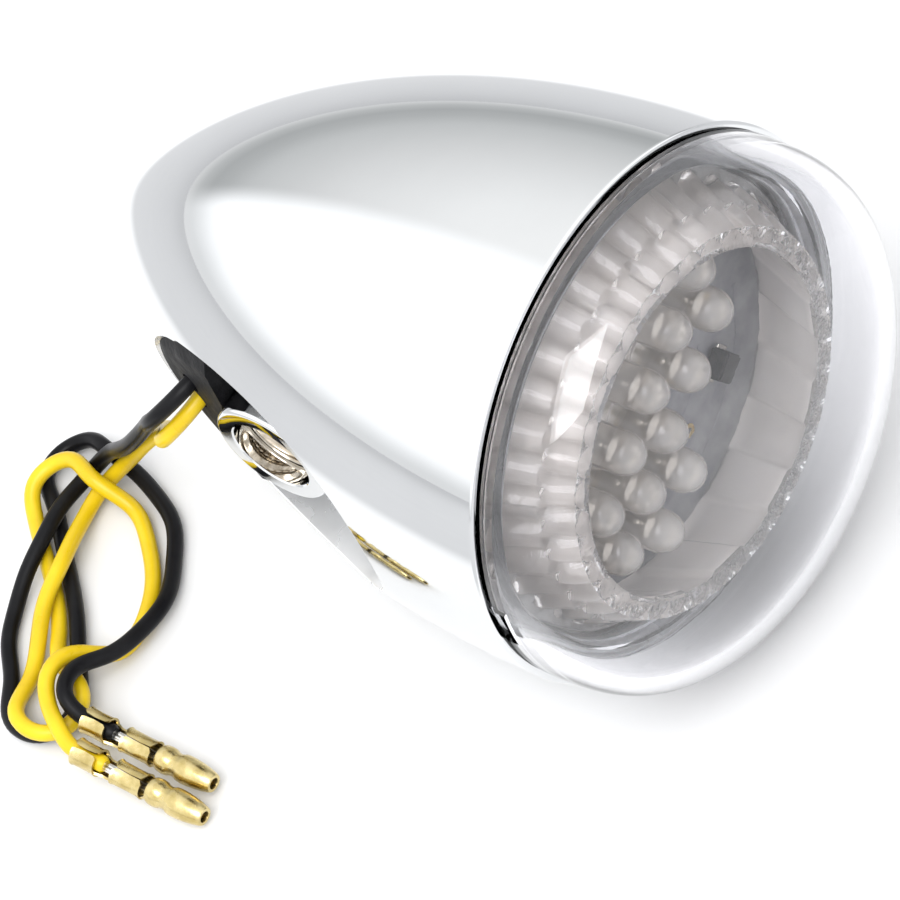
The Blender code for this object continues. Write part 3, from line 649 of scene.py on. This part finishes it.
def pocket_outline(inset, count):
    """The recess's edge, as points up from the axis and along Y, drawn in by inset."""
    edge = []
    for i in range(count):
        spin = 2 * math.pi * i / count
        front = math.cos(spin)
        up = (POCKET_HALF_WIDTH + POCKET_BULGE * front) * math.sin(spin)
        edge.append((up, TIP_Y - POCKET_STATION - POCKET_HALF_LENGTH * front))
    drawn_in = []
    for i, (up, along) in enumerate(edge):
        back, on = edge[i - 1], edge[(i + 1) % count]
        run_up, run_along = on[0] - back[0], on[1] - back[1]
        length = math.hypot(run_up, run_along)
        drawn_in.append((up - inset * run_along / length, along + inset * run_up / length))
    return drawn_in


def surface_out(up, along):
    """How far out the bullet's surface lies above this point of the axis plane."""
    radius = housing_radius(SEAM_Y - along)
    return math.sqrt(max(radius**2 - up**2, 0))


def pocket_solid(name, inset, floor, fillet, lip, count=168):
    """The recess as a solid: a filleted floor, straight walls, and a lip that rolls over into
    the bullet's surface."""
    rings = []
    for step in range(6 if fillet else 0):
        spin = 0.5 * math.pi * step / 6
        edge = pocket_outline(inset + fillet * (1 - math.sin(spin)), count)
        rings.append([(-(floor + fillet * (1 - math.cos(spin))), y, AXIS_Z + up) for up, y in edge])
    edge = pocket_outline(inset, count)
    rings.append([(-(floor + fillet), y, AXIS_Z + up) for up, y in edge])
    top = [floor + fillet] * count
    for step in range(7 if lip else 0):
        spin = 0.5 * math.pi * step / 6
        edge = pocket_outline(inset - lip * (1 - math.cos(spin)), count)
        top = [
            max(low + 0.00001, surface_out(up, y) - lip * (1 - math.sin(spin)))
            for low, (up, y) in zip(top, edge)
        ]
        rings.append([(-out, y, AXIS_Z + up) for out, (up, y) in zip(top, edge)])
    rings.append([(-FAR, y, AXIS_Z + up) for up, y in edge])
    return loft(name, rings, smooth=0)


hollow = [(MOUTH_RADIUS, LEDGE)]
for share in np.linspace(0, 1, 24):
    ahead = LEDGE - share * (HOUSING_LENGTH - NOSE_SOLID + LEDGE)
    hollow.append((min(CORE_RADIUS, housing_radius(ahead, HOUSING_WALL)), ahead))
shell = [(0, NOSE_SOLID - HOUSING_LENGTH)] + hollow[::-1]
shell += [(MOUTH_RADIUS, -MOUTH_CHAMFER), (MOUTH_RADIUS + MOUTH_CHAMFER, 0)]
shell += rounded_edge(HOUSING_RADIUS, 0, RIM_CHAMFER, 6) + nose_curve(110)
housing = lathe("bullet_shell", shell, 240, CHROME)
block = pocket_solid("block", -POCKET_WALL, POCKET_FLOOR - POCKET_WALL, 0, 0, 56)
boss_bottom = INSERT_BOTTOM - FIT - BOSS_BASE
boolean(block, drum("keep", BOSS_RADIUS, FAR, boss_bottom, 48, outward, smooth=35), "UNION")
under_skin, trim = 0.001, -0.002
full_profile = [(0, trim), (housing_radius(trim, under_skin), trim)]
full_profile += [(max(r - under_skin, 0.0001), h) for r, h in nose_curve(40)[2:-1]]
full_profile += [(0, -HOUSING_LENGTH + 0.003)]
boolean(block, lathe("full", full_profile, 96), "INTERSECT")
boolean(housing, block, "UNION")
pocket = pocket_solid("pocket", 0, POCKET_FLOOR, POCKET_FILLET, POCKET_LIP)
core_profile = [(0, BOSS_FACE)] + rounded_edge(BOSS_RADIUS, BOSS_FACE, BOSS_EDGE, 7)
core_profile += [(BOSS_RADIUS, BOSS_ROOT), (0, BOSS_ROOT)]
boolean(pocket, lathe("boss_core", core_profile, 96, None, outward))
boolean(housing, pocket)
bore_radius = INSERT_RADIUS + FIT
bore_profile = [(0, FAR), (bore_radius + BORE_CHAMFER, FAR), (bore_radius + BORE_CHAMFER, BOSS_FACE)]
bore_profile += [(bore_radius, BOSS_FACE - BORE_CHAMFER), (bore_radius, INSERT_TOP - 0.0001)]
bore_profile += [(bore_radius, INSERT_BOTTOM - FIT), (0, INSERT_BOTTOM - FIT)]
boolean(housing, lathe("bore", bore_profile, 96, None, outward))


def polish(obj):
    """Gives the bullet's outer surface its exact normals, so that it reflects without facets."""
    mesh = obj.data
    mesh.shade_smooth()
    mesh.set_sharp_from_angle(angle=math.radians(30))
    corners = np.zeros(len(mesh.loops) * 3)
    mesh.corner_normals.foreach_get("vector", corners)
    corners = corners.reshape(-1, 3)
    exact = np.zeros((len(mesh.vertices), 3))
    touches = np.zeros(len(mesh.vertices), bool)
    for i, vertex in enumerate(mesh.vertices):
        x, y, z = vertex.co
        across = math.hypot(x, z - AXIS_Z)
        ahead = SEAM_Y - y
        if not -0.9985 * HOUSING_LENGTH < ahead < -0.0003:
            continue
        if abs(across - housing_radius(ahead)) > 0.00001:
            continue
        slope = (housing_radius(ahead + 1e-6) - housing_radius(ahead - 1e-6)) / 2e-6
        normal = Vector((x / across, slope, (z - AXIS_Z) / across)).normalized()
        exact[i] = normal
        touches[i] = True
    for face in mesh.polygons:
        loops = list(face.loop_indices)
        verts = [mesh.loops[k].vertex_index for k in loops]
        if not all(touches[v] for v in verts):
            continue
        if np.array(face.normal) @ exact[verts].mean(axis=0) < 0.97:
            continue
        for k, v in zip(loops, verts):
            corners[k] = exact[v]
    mesh.normals_split_custom_set([tuple(n) for n in corners])


def on_skin(point):
    return abs(math.hypot(point.x, point.z - AXIS_Z) - housing_radius(SEAM_Y - point.y)) < 0.00003


def line_recess(obj):
    """Gives the recess's floor and walls, but not the boss, the duller plating of a recess."""
    mesh = obj.data
    mesh.materials.clear()
    mesh.materials.append(CHROME)
    mesh.materials.append(RECESS_CHROME)
    mesh.materials.append(BORE_STEEL)
    for face in mesh.polygons:
        x, y, z = face.center
        near_boss = math.hypot(y - BOSS_Y, z - AXIS_Z) < BOSS_RADIUS + 0.0001
        in_recess = x < -0.0100 and abs(z - AXIS_Z) < 0.016 and SEAM_Y + 0.012 < y < TIP_Y - 0.012
        wholly_on_skin = all(on_skin(mesh.vertices[v].co) for v in face.vertices)
        across = math.hypot(x, z - AXIS_Z)
        in_mouth = across < MOUTH_RADIUS + 0.0001 and y < SEAM_Y + 0.012
        in_bore = -INSERT_TOP - 0.0001 < x < -0.0060
        in_bore = in_bore and math.hypot(y - BOSS_Y, z - AXIS_Z) < bore_radius + 0.00005
        if in_bore:
            face.material_index = 2
        elif in_mouth or in_recess and not near_boss and not wholly_on_skin:
            face.material_index = 1
        else:
            face.material_index = 0


line_recess(housing)
polish(housing)
finished(housing, "housing", "chrome", "housing")

# ---- threaded insert, its thread a true helix ----
THREAD_ROWS = 92
insert_length = INSERT_TOP - INSERT_BOTTOM
profile = [(INSERT_RADIUS - 0.0002, INSERT_TOP), (INSERT_RADIUS, INSERT_TOP - 0.0002)]
profile += [(INSERT_RADIUS, INSERT_BOTTOM)]
start = len(profile)
for row in range(THREAD_ROWS + 1):
    profile.append((THREAD_MAJOR / 2, INSERT_BOTTOM + insert_length * row / THREAD_ROWS))


def threaded(angle, k, radius, height):
    if k < start:
        return radius, height
    turn_share = ((height - THREAD_PITCH * angle / (2 * math.pi)) / THREAD_PITCH) % 1
    tooth = max(0.0, min(1.0, 1.25 * (1 - abs(2 * turn_share - 1)) - 0.1))
    mouth = max(0.0, 1 - (INSERT_TOP - height) / 0.0008)
    depth = (THREAD_MAJOR - THREAD_MINOR) / 2 * tooth * (1 - mouth)
    return THREAD_MAJOR / 2 - depth + 0.0002 * mouth, height


insert = lathe("threaded_bush", profile, 96, STEEL, outward, ring=True, smooth=40, shape=threaded)
finished(insert, "housing", "steel", "threaded_insert")

# ---- wire grommet ----
grommet_floor = POCKET_FLOOR + FIT
grommet = pocket_solid("grommet_plug", FIT, grommet_floor, 0.0015, 0, 120)
rear, front = TIP_Y - GROMMET_REAR, TIP_Y - GROMMET_FRONT
slope = [(rear, grommet_floor - FIT), (rear, POCKET_FLOOR + GROMMET_LOW)]
slope += [(front, POCKET_FLOOR + GROMMET_HIGH), (front, grommet_floor - FIT)]
sides = [[(-out, y, AXIS_Z + up) for y, out in slope] for up in (-0.03, 0.03)]
boolean(grommet, loft("wedge", sides, smooth=0), "INTERSECT")
skin = [(0, 0), (HOUSING_RADIUS - GROMMET_SUNK, 0)] + nose_curve(60, GROMMET_SUNK)
boolean(grommet, lathe("skin", skin, 160, smooth=0), "INTERSECT")
boolean(grommet, drum("room", BOSS_RADIUS + FIT, FAR, 0, 64, outward))


def at_exit(rise):
    """Turned points about a line out through the wires' exit, this far above its middle."""
    def place(radius, angle, out):
        return (-out, WIRE_EXIT[1] + radius * math.cos(angle), AXIS_Z + rise + radius * math.sin(angle))
    return place


neck_bottom = POCKET_FLOOR - POCKET_WALL - NECK_PROUD
boolean(grommet, drum("neck", NECK_RADIUS, grommet_floor + FIT, neck_bottom, 32, at_exit(0)), "UNION")
for rise in (WIRE_RISE, -WIRE_RISE):
    boolean(grommet, drum("hole", WIRE_HOLE, FAR, 0, 32, at_exit(rise)))
shape = bmesh.new()
shape.from_mesh(grommet.data)
edges = [e for e in shape.edges if e.is_manifold and e.calc_face_angle(0) > math.radians(40)]
bmesh.ops.bevel(shape, geom=edges, offset=0.00012, segments=2, affect="EDGES", clamp_overlap=True)
shape.to_mesh(grommet.data)
shape.free()
shade(grommet, 45)
grommet.data.materials.clear()
grommet.data.materials.append(RUBBER)
finished(grommet, "housing", "black_rubber", "wire_grommet")


# ---- lens ----
def lens_curve(count):
    heights = [LENS_PROUD * math.cos(0.5 * math.pi * i / count) ** 0.6 for i in range(1, count)]
    points = [(0, LENS_PROUD)]
    for height in heights:
        share = height / LENS_PROUD
        points.append((LENS_RADIUS * (1 - share**LENS_SHOULDER) ** (1 / LENS_CROWN), height))
    points.append((LENS_RADIUS, FIT))
    normals = []
    for i in range(len(points)):
        high, low = points[max(i - 1, 0)], points[min(i + 1, len(points) - 1)]
        run_out, drop = low[0] - high[0], high[1] - low[1]
        length = math.hypot(run_out, drop)
        normals.append((drop / length, run_out / length))
    normals[0] = (0, 1)
    normals[-1] = (1, 0)
    return points, normals


SIDE_INNER = LENS_RADIUS - LENS_WALL
LEDGE_IN_LENS = 0.0012
crown, outward_normals = lens_curve(56)
inside = [(r - LENS_WALL * n, h - LENS_WALL * m) for (r, h), (n, m) in zip(crown, outward_normals)]
inside = [(min(r, SIDE_INNER), h) for r, h in inside[1:-1] if h > LEDGE_IN_LENS + 0.0003]
groove_high = -SEAL_PLACE + SEAL_WIDTH / 2 + FIT
groove_low = -SEAL_PLACE - SEAL_WIDTH / 2 - FIT
groove_floor = SKIRT_RADIUS - SEAL_DEPTH - FIT
lens_profile = crown[:-1] + [(LENS_RADIUS, FIT + 0.0002), (LENS_RADIUS - 0.0002, FIT)]
lens_profile += [(SKIRT_RADIUS, FIT), (SKIRT_RADIUS, groove_high), (groove_floor, groove_high)]
lens_profile += [(groove_floor, groove_low), (SKIRT_RADIUS, groove_low), (SKIRT_RADIUS, -SKIRT_DEPTH)]
lens_profile += [(SKIRT_INNER, -SKIRT_DEPTH), (SKIRT_INNER, LEDGE_IN_LENS - 0.0003)]
lens_profile += [(SKIRT_INNER + 0.0003, LEDGE_IN_LENS), (SIDE_INNER, LEDGE_IN_LENS)]
lens_profile += inside[::-1] + [(0, LENS_PROUD - LENS_WALL)]
lens = lathe("lens_shell", lens_profile, 240, LENS_CLEAR)
notch_left, notch_right = -LENS_RADIUS - 0.001, -LENS_RADIUS + NOTCH_DEPTH
notch_corners = ((notch_left, -1), (notch_right, -1), (notch_right, 1), (notch_left, 1))
notch = loft("notch", [
    [(x, y, AXIS_Z + side * NOTCH_WIDTH / 2) for x, side in notch_corners]
    for y in (SEAM_Y - FIT + 0.0005, SEAM_Y - FIT - NOTCH_HEIGHT)
], smooth=0)
boolean(lens, notch)
shade(lens, 30)
finished(lens, "lens", "clear_plastic", "lens")

seal_high, seal_low = -SEAL_PLACE + SEAL_WIDTH / 2, -SEAL_PLACE - SEAL_WIDTH / 2
seal_middle = (seal_high + seal_low) / 2
seal_profile = []
for a in np.linspace(0, 2 * math.pi, 17)[:-1]:
    ring_radius = SKIRT_RADIUS - SEAL_DEPTH / 2 + SEAL_DEPTH / 2 * math.sin(a)
    seal_profile.append((ring_radius, seal_middle + SEAL_WIDTH / 2 * math.cos(a)))
seal = lathe("seal_ring", seal_profile, 160, SILICONE, ring=True)
finished(seal, "lens", "pale_silicone", "lens_seal")

# ---- light guide ----
FLUTES = 36
PANELS = 12
random.seed(7)
guide_profile = []
kinds = []


def guide_point(radius, height, kind):
    guide_profile.append((radius, height))
    kinds.append(kind)


for k in range(9):
    guide_point(GUIDE_FRONT - GUIDE_WALL * (8 - k) / 8, GUIDE_PROUD, "front")
step_height = 0.0022
flange_top = GUIDE_BASE + GUIDE_FLANGE


def wall_radius(height):
    share = (GUIDE_PROUD - height) / (GUIDE_PROUD - flange_top)
    return GUIDE_FRONT + (GUIDE_SHOULDER - GUIDE_FRONT) * share


for height in np.linspace(GUIDE_PROUD - 0.0003, step_height + 0.0001, 9):
    guide_point(wall_radius(height), height, "upper")
for height in np.linspace(step_height - 0.0001, flange_top + 0.0002, 10):
    guide_point(wall_radius(height), height, "lower")
guide_point(GUIDE_SHOULDER, flange_top, "plain")
guide_point(GUIDE_FLANGE_RADIUS, flange_top, "plain")
guide_point(GUIDE_FLANGE_RADIUS, GUIDE_BASE, "plain")
guide_point(GUIDE_SHOULDER - GUIDE_WALL, GUIDE_BASE, "plain")
for height in np.linspace(GUIDE_BASE + 0.0006, GUIDE_PROUD - 0.0005, 9):
    share = (height - GUIDE_BASE) / (GUIDE_PROUD - GUIDE_BASE)
    inner = GUIDE_SHOULDER - GUIDE_WALL + (GUIDE_FRONT - GUIDE_SHOULDER) * share
    guide_point(inner, height, "inner")


def fluted(angle, k, radius, height):
    kind = kinds[k]
    if kind == "front":
        if 0 < k < 8:
            height += random.uniform(-0.00022, 0.00006)
            radius += random.uniform(-0.00008, 0.00008)
        else:
            height += random.uniform(-0.00010, 0.0)
        return radius, height
    if kind in ("upper", "lower"):
        phase = 0 if kind == "upper" else math.pi / 2
        lobe = abs(math.cos(FLUTES / 2 * angle + phase)) ** 0.8
        deep = 0.0015 if kind == "upper" else 0.0017
        bulge = math.sin(math.pi * (k % 9) / 8) if kind == "upper" else 1.0
        return radius - deep * (1 - lobe) - 0.0002 * (1 - bulge), height
    if kind == "inner":
        wave = math.tanh(7 * math.cos(PANELS * angle))
        return radius + 0.00035 * wave, height
    return radius, height


guide = lathe("guide_ring", guide_profile, 864, GUIDE_CLEAR, ring=True, smooth=50, shape=fluted)
guide.data.materials.append(GUIDE_INNER)
for face in guide.data.polygons:
    x, y, z = face.center
    across = math.hypot(x, z - AXIS_Z)
    share = (SEAM_Y - y - GUIDE_BASE) / (GUIDE_PROUD - GUIDE_BASE)
    inner_wall = GUIDE_SHOULDER - GUIDE_WALL + (GUIDE_FRONT - GUIDE_SHOULDER) * share
    if abs(across - inner_wall) < 0.0006 and 0.02 < share < 0.97:
        face.material_index = 1
finished(guide, "housing", "guide_plastic", "light_guide")

# ---- circuit board ----
disc = [(0, BOARD_FRONT), (BOARD_RADIUS - 0.0001, BOARD_FRONT), (BOARD_RADIUS, BOARD_FRONT - 0.0001)]
disc += [(BOARD_RADIUS, BOARD_BACK + 0.0001), (BOARD_RADIUS - 0.0001, BOARD_BACK), (0, BOARD_BACK)]
board_pieces = [lathe("disc", disc, 160, BOARD)]


def on_board(x, z, lift=0.0):
    return (x, SEAM_Y - BOARD_FRONT - lift, AXIS_Z + z)


def pad(x, z, outer, inner, finish, lift=0.00004):
    rings = []
    for radius, rise in ((inner, 0), (outer, 0), (outer - 0.00002, lift), (inner + 0.00002, lift)):
        rings.append([
            on_board(x + radius * math.cos(a), z + radius * math.sin(a), rise)
            for a in np.linspace(0, 2 * math.pi, 25)[:-1]
        ])
    return loft("pad", rings + [rings[0]], finish, 40, caps=False)


def track(points, width, finish, lift=0.00003):
    rings = []
    for k, (x, z) in enumerate(points):
        before, after = points[max(k - 1, 0)], points[min(k + 1, len(points) - 1)]
        run_x, run_z = after[0] - before[0], after[1] - before[1]
        length = math.hypot(run_x, run_z)
        side_x, side_z = -run_z / length * width / 2, run_x / length * width / 2
        rings.append([
            on_board(x - side_x, z - side_z, 0), on_board(x + side_x, z + side_z, 0),
            on_board(x + side_x, z + side_z, lift), on_board(x - side_x, z - side_z, lift),
        ])
    return loft("track", rings, finish, 40)


led_places = []
for i in range(12):
    low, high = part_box(f"led_{i + 1:02d}")
    led_places.append(((low.x + high.x) / 2, (low.z + high.z) / 2 - AXIS_Z))
LEGEND_RADIUS, LEGEND_INNER = 0.00335, 0.00315       # the printed ring round each LED
row_x, row_z = math.cos(LED_ROW_ANGLE), math.sin(LED_ROW_ANGLE)
for x, z in led_places:
    board_pieces.append(pad(x, z, LEGEND_RADIUS, LEGEND_INNER, INK))
    for side in (-1, 1):
        px, pz = x + side * LEGEND_RADIUS * row_z, z - side * LEGEND_RADIUS * row_x
        board_pieces.append(pad(px, pz, 0.00042, 0.00015, GILT))
for i in range(4):
    low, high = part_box(f"resistor_{i + 1}")
    x, z = (low.x + high.x) / 2, (low.z + high.z) / 2 - AXIS_Z
    end = (x + 0.5 * row_z * 0.006, z - 0.5 * row_x * 0.006)
    board_pieces.append(track([(x, z), end], 0.0005, GILT))
arcs = ((0.0186, 15, 60), (0.0200, 190, 255), (0.0205, 285, 345), (0.0140, 262, 330))
for radius, start_angle, end_angle in arcs:
    sweep = [math.radians(a) for a in np.linspace(start_angle, end_angle, 20)]
    arc = [(radius * math.cos(a), radius * math.sin(a)) for a in sweep]
    board_pieces.append(track(arc, 0.0006, BOARD, 0.00005))
for x, z in ((0.0172, -0.0052), (0.0058, -0.0150), (0.0160, 0.0098), (0.0118, -0.0030)):
    board_pieces.append(pad(x, z, 0.0009, 0.0004, GILT))
board = joined("led_board", board_pieces)
shade(board, 40)
finished(board, "housing", "board", "circuit_board")

# ---- LEDs: a clear domed body round its lead frame, reflector cup and chip ----
led_body = [(0, LED_BODY_HEIGHT + LED_RADIUS)]
for spin in np.linspace(0.12, math.pi / 2, 14):
    led_body.append((LED_RADIUS * math.sin(spin), LED_BODY_HEIGHT + LED_RADIUS * math.cos(spin)))
led_body += [(LED_RADIUS, LED_RIM_HEIGHT + 0.0001), (LED_RADIUS + 0.0001, LED_RIM_HEIGHT)]
led_body += [(LED_RIM_RADIUS - 0.0001, LED_RIM_HEIGHT), (LED_RIM_RADIUS, LED_RIM_HEIGHT - 0.0001)]
led_body += [(LED_RIM_RADIUS, 0.0001), (LED_RIM_RADIUS - 0.0001, 0), (0, 0)]
LED_FRAME = (
    ("post", (0.0006, 0.0005, 0.0042), (-0.00115, 0, 0.0002)),
    ("flag", (0.0013, 0.0005, 0.0012), (-0.0009, 0, 0.0030)),
    ("anvil", (0.0019, 0.0006, 0.0016), (0.00085, 0, 0.0028)),
    ("leg", (0.0006, 0.0005, 0.0030), (0.00115, 0, 0.0002)),
)
LED_CUP = (
    (0, 0.0044), (0.00035, 0.0044), (0.00075, 0.0050), (0.00085, 0.0050), (0.00085, 0.0043),
    (0, 0.0042),
)
led_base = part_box("led_01")[1].y
for i, (x, z) in enumerate(led_places):
    body = lathe("body", led_body, 48, LED_CLEAR, straight)
    inside = [moved(lathe("cup", LED_CUP, 24, TIN, straight), (0.0004, 0, 0))]
    for part, size, place in LED_FRAME:
        inside.append(moved(rounded_box(part, size, TIN), place))
    inside.append(moved(rounded_box("chip", (0.0004, 0.0004, 0.0002), GILT), (0.0004, 0, 0.0044)))
    led = joined(f"led_lamp_{i + 1:02d}", [body, *inside])
    shade(led, 40)
    face_forward(led, x, z, SEAM_Y - led_base, -LED_ROW_ANGLE + math.pi / 2)
    finished(led, "housing", "led_epoxy", f"led_{i + 1:02d}")

# ---- small parts on the board ----
for i in range(4):
    low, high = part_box(f"resistor_{i + 1}")
    chip_body = rounded_box("chip_body", (0.0023, 0.00158, 0.00055), CERAMIC, 0.00005)
    ends = [
        moved(rounded_box("end", (0.00052, 0.0016, 0.0006), GILT, 0.00008), (side * 0.00134, 0, 0))
        for side in (-1, 1)
    ]
    resistor = joined(f"chip_resistor_{i + 1}", [chip_body, *ends])
    across, above = (low.x + high.x) / 2, (low.z + high.z) / 2 - AXIS_Z
    face_forward(resistor, across, above, SEAM_Y - high.y, -LED_ROW_ANGLE)
    finished(resistor, "housing", "ceramic", f"resistor_{i + 1}")
low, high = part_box("rectifier_diode")
case = rounded_box("case", (0.0034, 0.0026, 0.0021), EPOXY_CASE, 0.0002)
tabs = [
    moved(rounded_box("tab", (0.0008, 0.0016, 0.0004), TIN, 0.00008), (side * 0.00175, 0, 0))
    for side in (-1, 1)
]
diode = joined("power_diode", [case, *tabs])
across, above = (low.x + high.x) / 2, (low.z + high.z) / 2 - AXIS_Z
face_forward(diode, across, above, SEAM_Y - high.y, -LED_ROW_ANGLE)
finished(diode, "housing", "moulded_case", "rectifier_diode")

# ---- CAD nodes that keep their shape ----
for node, finish in (
    ("lead_black", PVC_BLACK), ("lead_yellow", PVC_YELLOW),
    ("solder_black", SOLDER), ("solder_yellow", SOLDER),
):
    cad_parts[node].data.materials.clear()
    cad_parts[node].data.materials.append(finish)

# ---- floor and light ----
bpy.ops.mesh.primitive_plane_add(size=6, location=(0.005, 0.015, 0))
floor = bpy.context.object
floor.name = "floor"
floor.data.materials.append(FLOOR)


def smooth_step(tree, value, start, end):
    """0 at start, 1 at end, smooth between."""
    made = tree.nodes.new("ShaderNodeMapRange")
    made.interpolation_type = "SMOOTHSTEP"
    low, high = sorted((start, end))
    made.inputs["From Min"].default_value = low
    made.inputs["From Max"].default_value = high
    made.inputs["To Min"].default_value = 0 if start < end else 1
    made.inputs["To Max"].default_value = 1 if start < end else 0
    tree.links.new(value, made.inputs["Value"])
    return made.outputs["Result"]


def combine(tree, operation, first, second):
    made = tree.nodes.new("ShaderNodeMath")
    made.operation = operation
    tree.links.new(first, made.inputs[0])
    tree.links.new(second, made.inputs[1])
    return made.outputs[0]


def blend(tree, share, under, over):
    made = tree.nodes.new("ShaderNodeMix")
    made.data_type = "RGBA"
    tree.links.new(share, made.inputs[0])
    tree.links.new(under, made.inputs[6])
    made.inputs[7].default_value = over
    return made.outputs[2]


def studio():
    """A white tent: bright to the left and in front, grey behind on the right, darkest at the
    horizon."""
    world = bpy.data.worlds.new("studio")
    world.use_nodes = True
    tree = world.node_tree
    place = tree.nodes.new("ShaderNodeTexCoord")
    split = tree.nodes.new("ShaderNodeSeparateXYZ")
    tree.links.new(place.outputs["Generated"], split.inputs[0])
    x, y, z = split.outputs
    height = tree.nodes.new("ShaderNodeMapRange")
    height.inputs["From Min"].default_value = -0.05
    height.inputs["From Max"].default_value = 0.95
    tree.links.new(z, height.inputs["Value"])
    back = ramp(tree, height.outputs["Result"], [
        (0.03, (0.68, 0.685, 0.69)), (0.08, (0.49, 0.50, 0.505)), (0.13, (0.41, 0.42, 0.425)),
        (0.19, (0.45, 0.46, 0.465)), (0.27, (0.55, 0.56, 0.565)), (0.45, (0.68, 0.685, 0.69)),
        (0.73, (0.89, 0.895, 0.90)), (1.0, (1.0, 1.0, 1.0)),
    ])
    lift = smooth_step(tree, z, -0.10, 0.20)
    side = combine(tree, "MULTIPLY", smooth_step(tree, x, 0.17, 0.03), lift)
    front = combine(tree, "MULTIPLY", smooth_step(tree, y, 0.05, -0.20), lift)
    lit = blend(tree, side, back, (1.16, 1.17, 1.19, 1))
    lit = blend(tree, front, lit, (1.15, 1.16, 1.19, 1))
    tree.links.new(lit, tree.nodes["Background"].inputs["Color"])
    tree.nodes["Background"].inputs["Strength"].default_value = 1.31
    return world


bpy.context.scene.world = studio()
bpy.context.scene.view_settings.view_transform = "Standard"


def softbox(name, place, target, width, height, power, colour=(1, 1, 1)):
    light = bpy.data.lights.new(name, "AREA")
    light.shape = "RECTANGLE"
    light.size = width
    light.size_y = height
    light.energy = power
    light.color = colour
    obj = bpy.data.objects.new(name, light)
    bpy.context.scene.collection.objects.link(obj)
    obj.location = place
    obj.rotation_euler = (Vector(target) - Vector(place)).to_track_quat("-Z", "Y").to_euler()
    return obj


softbox("key", (-0.5, -0.3, 0.9), (0, 0, 0.03), 0.7, 0.7, 8)
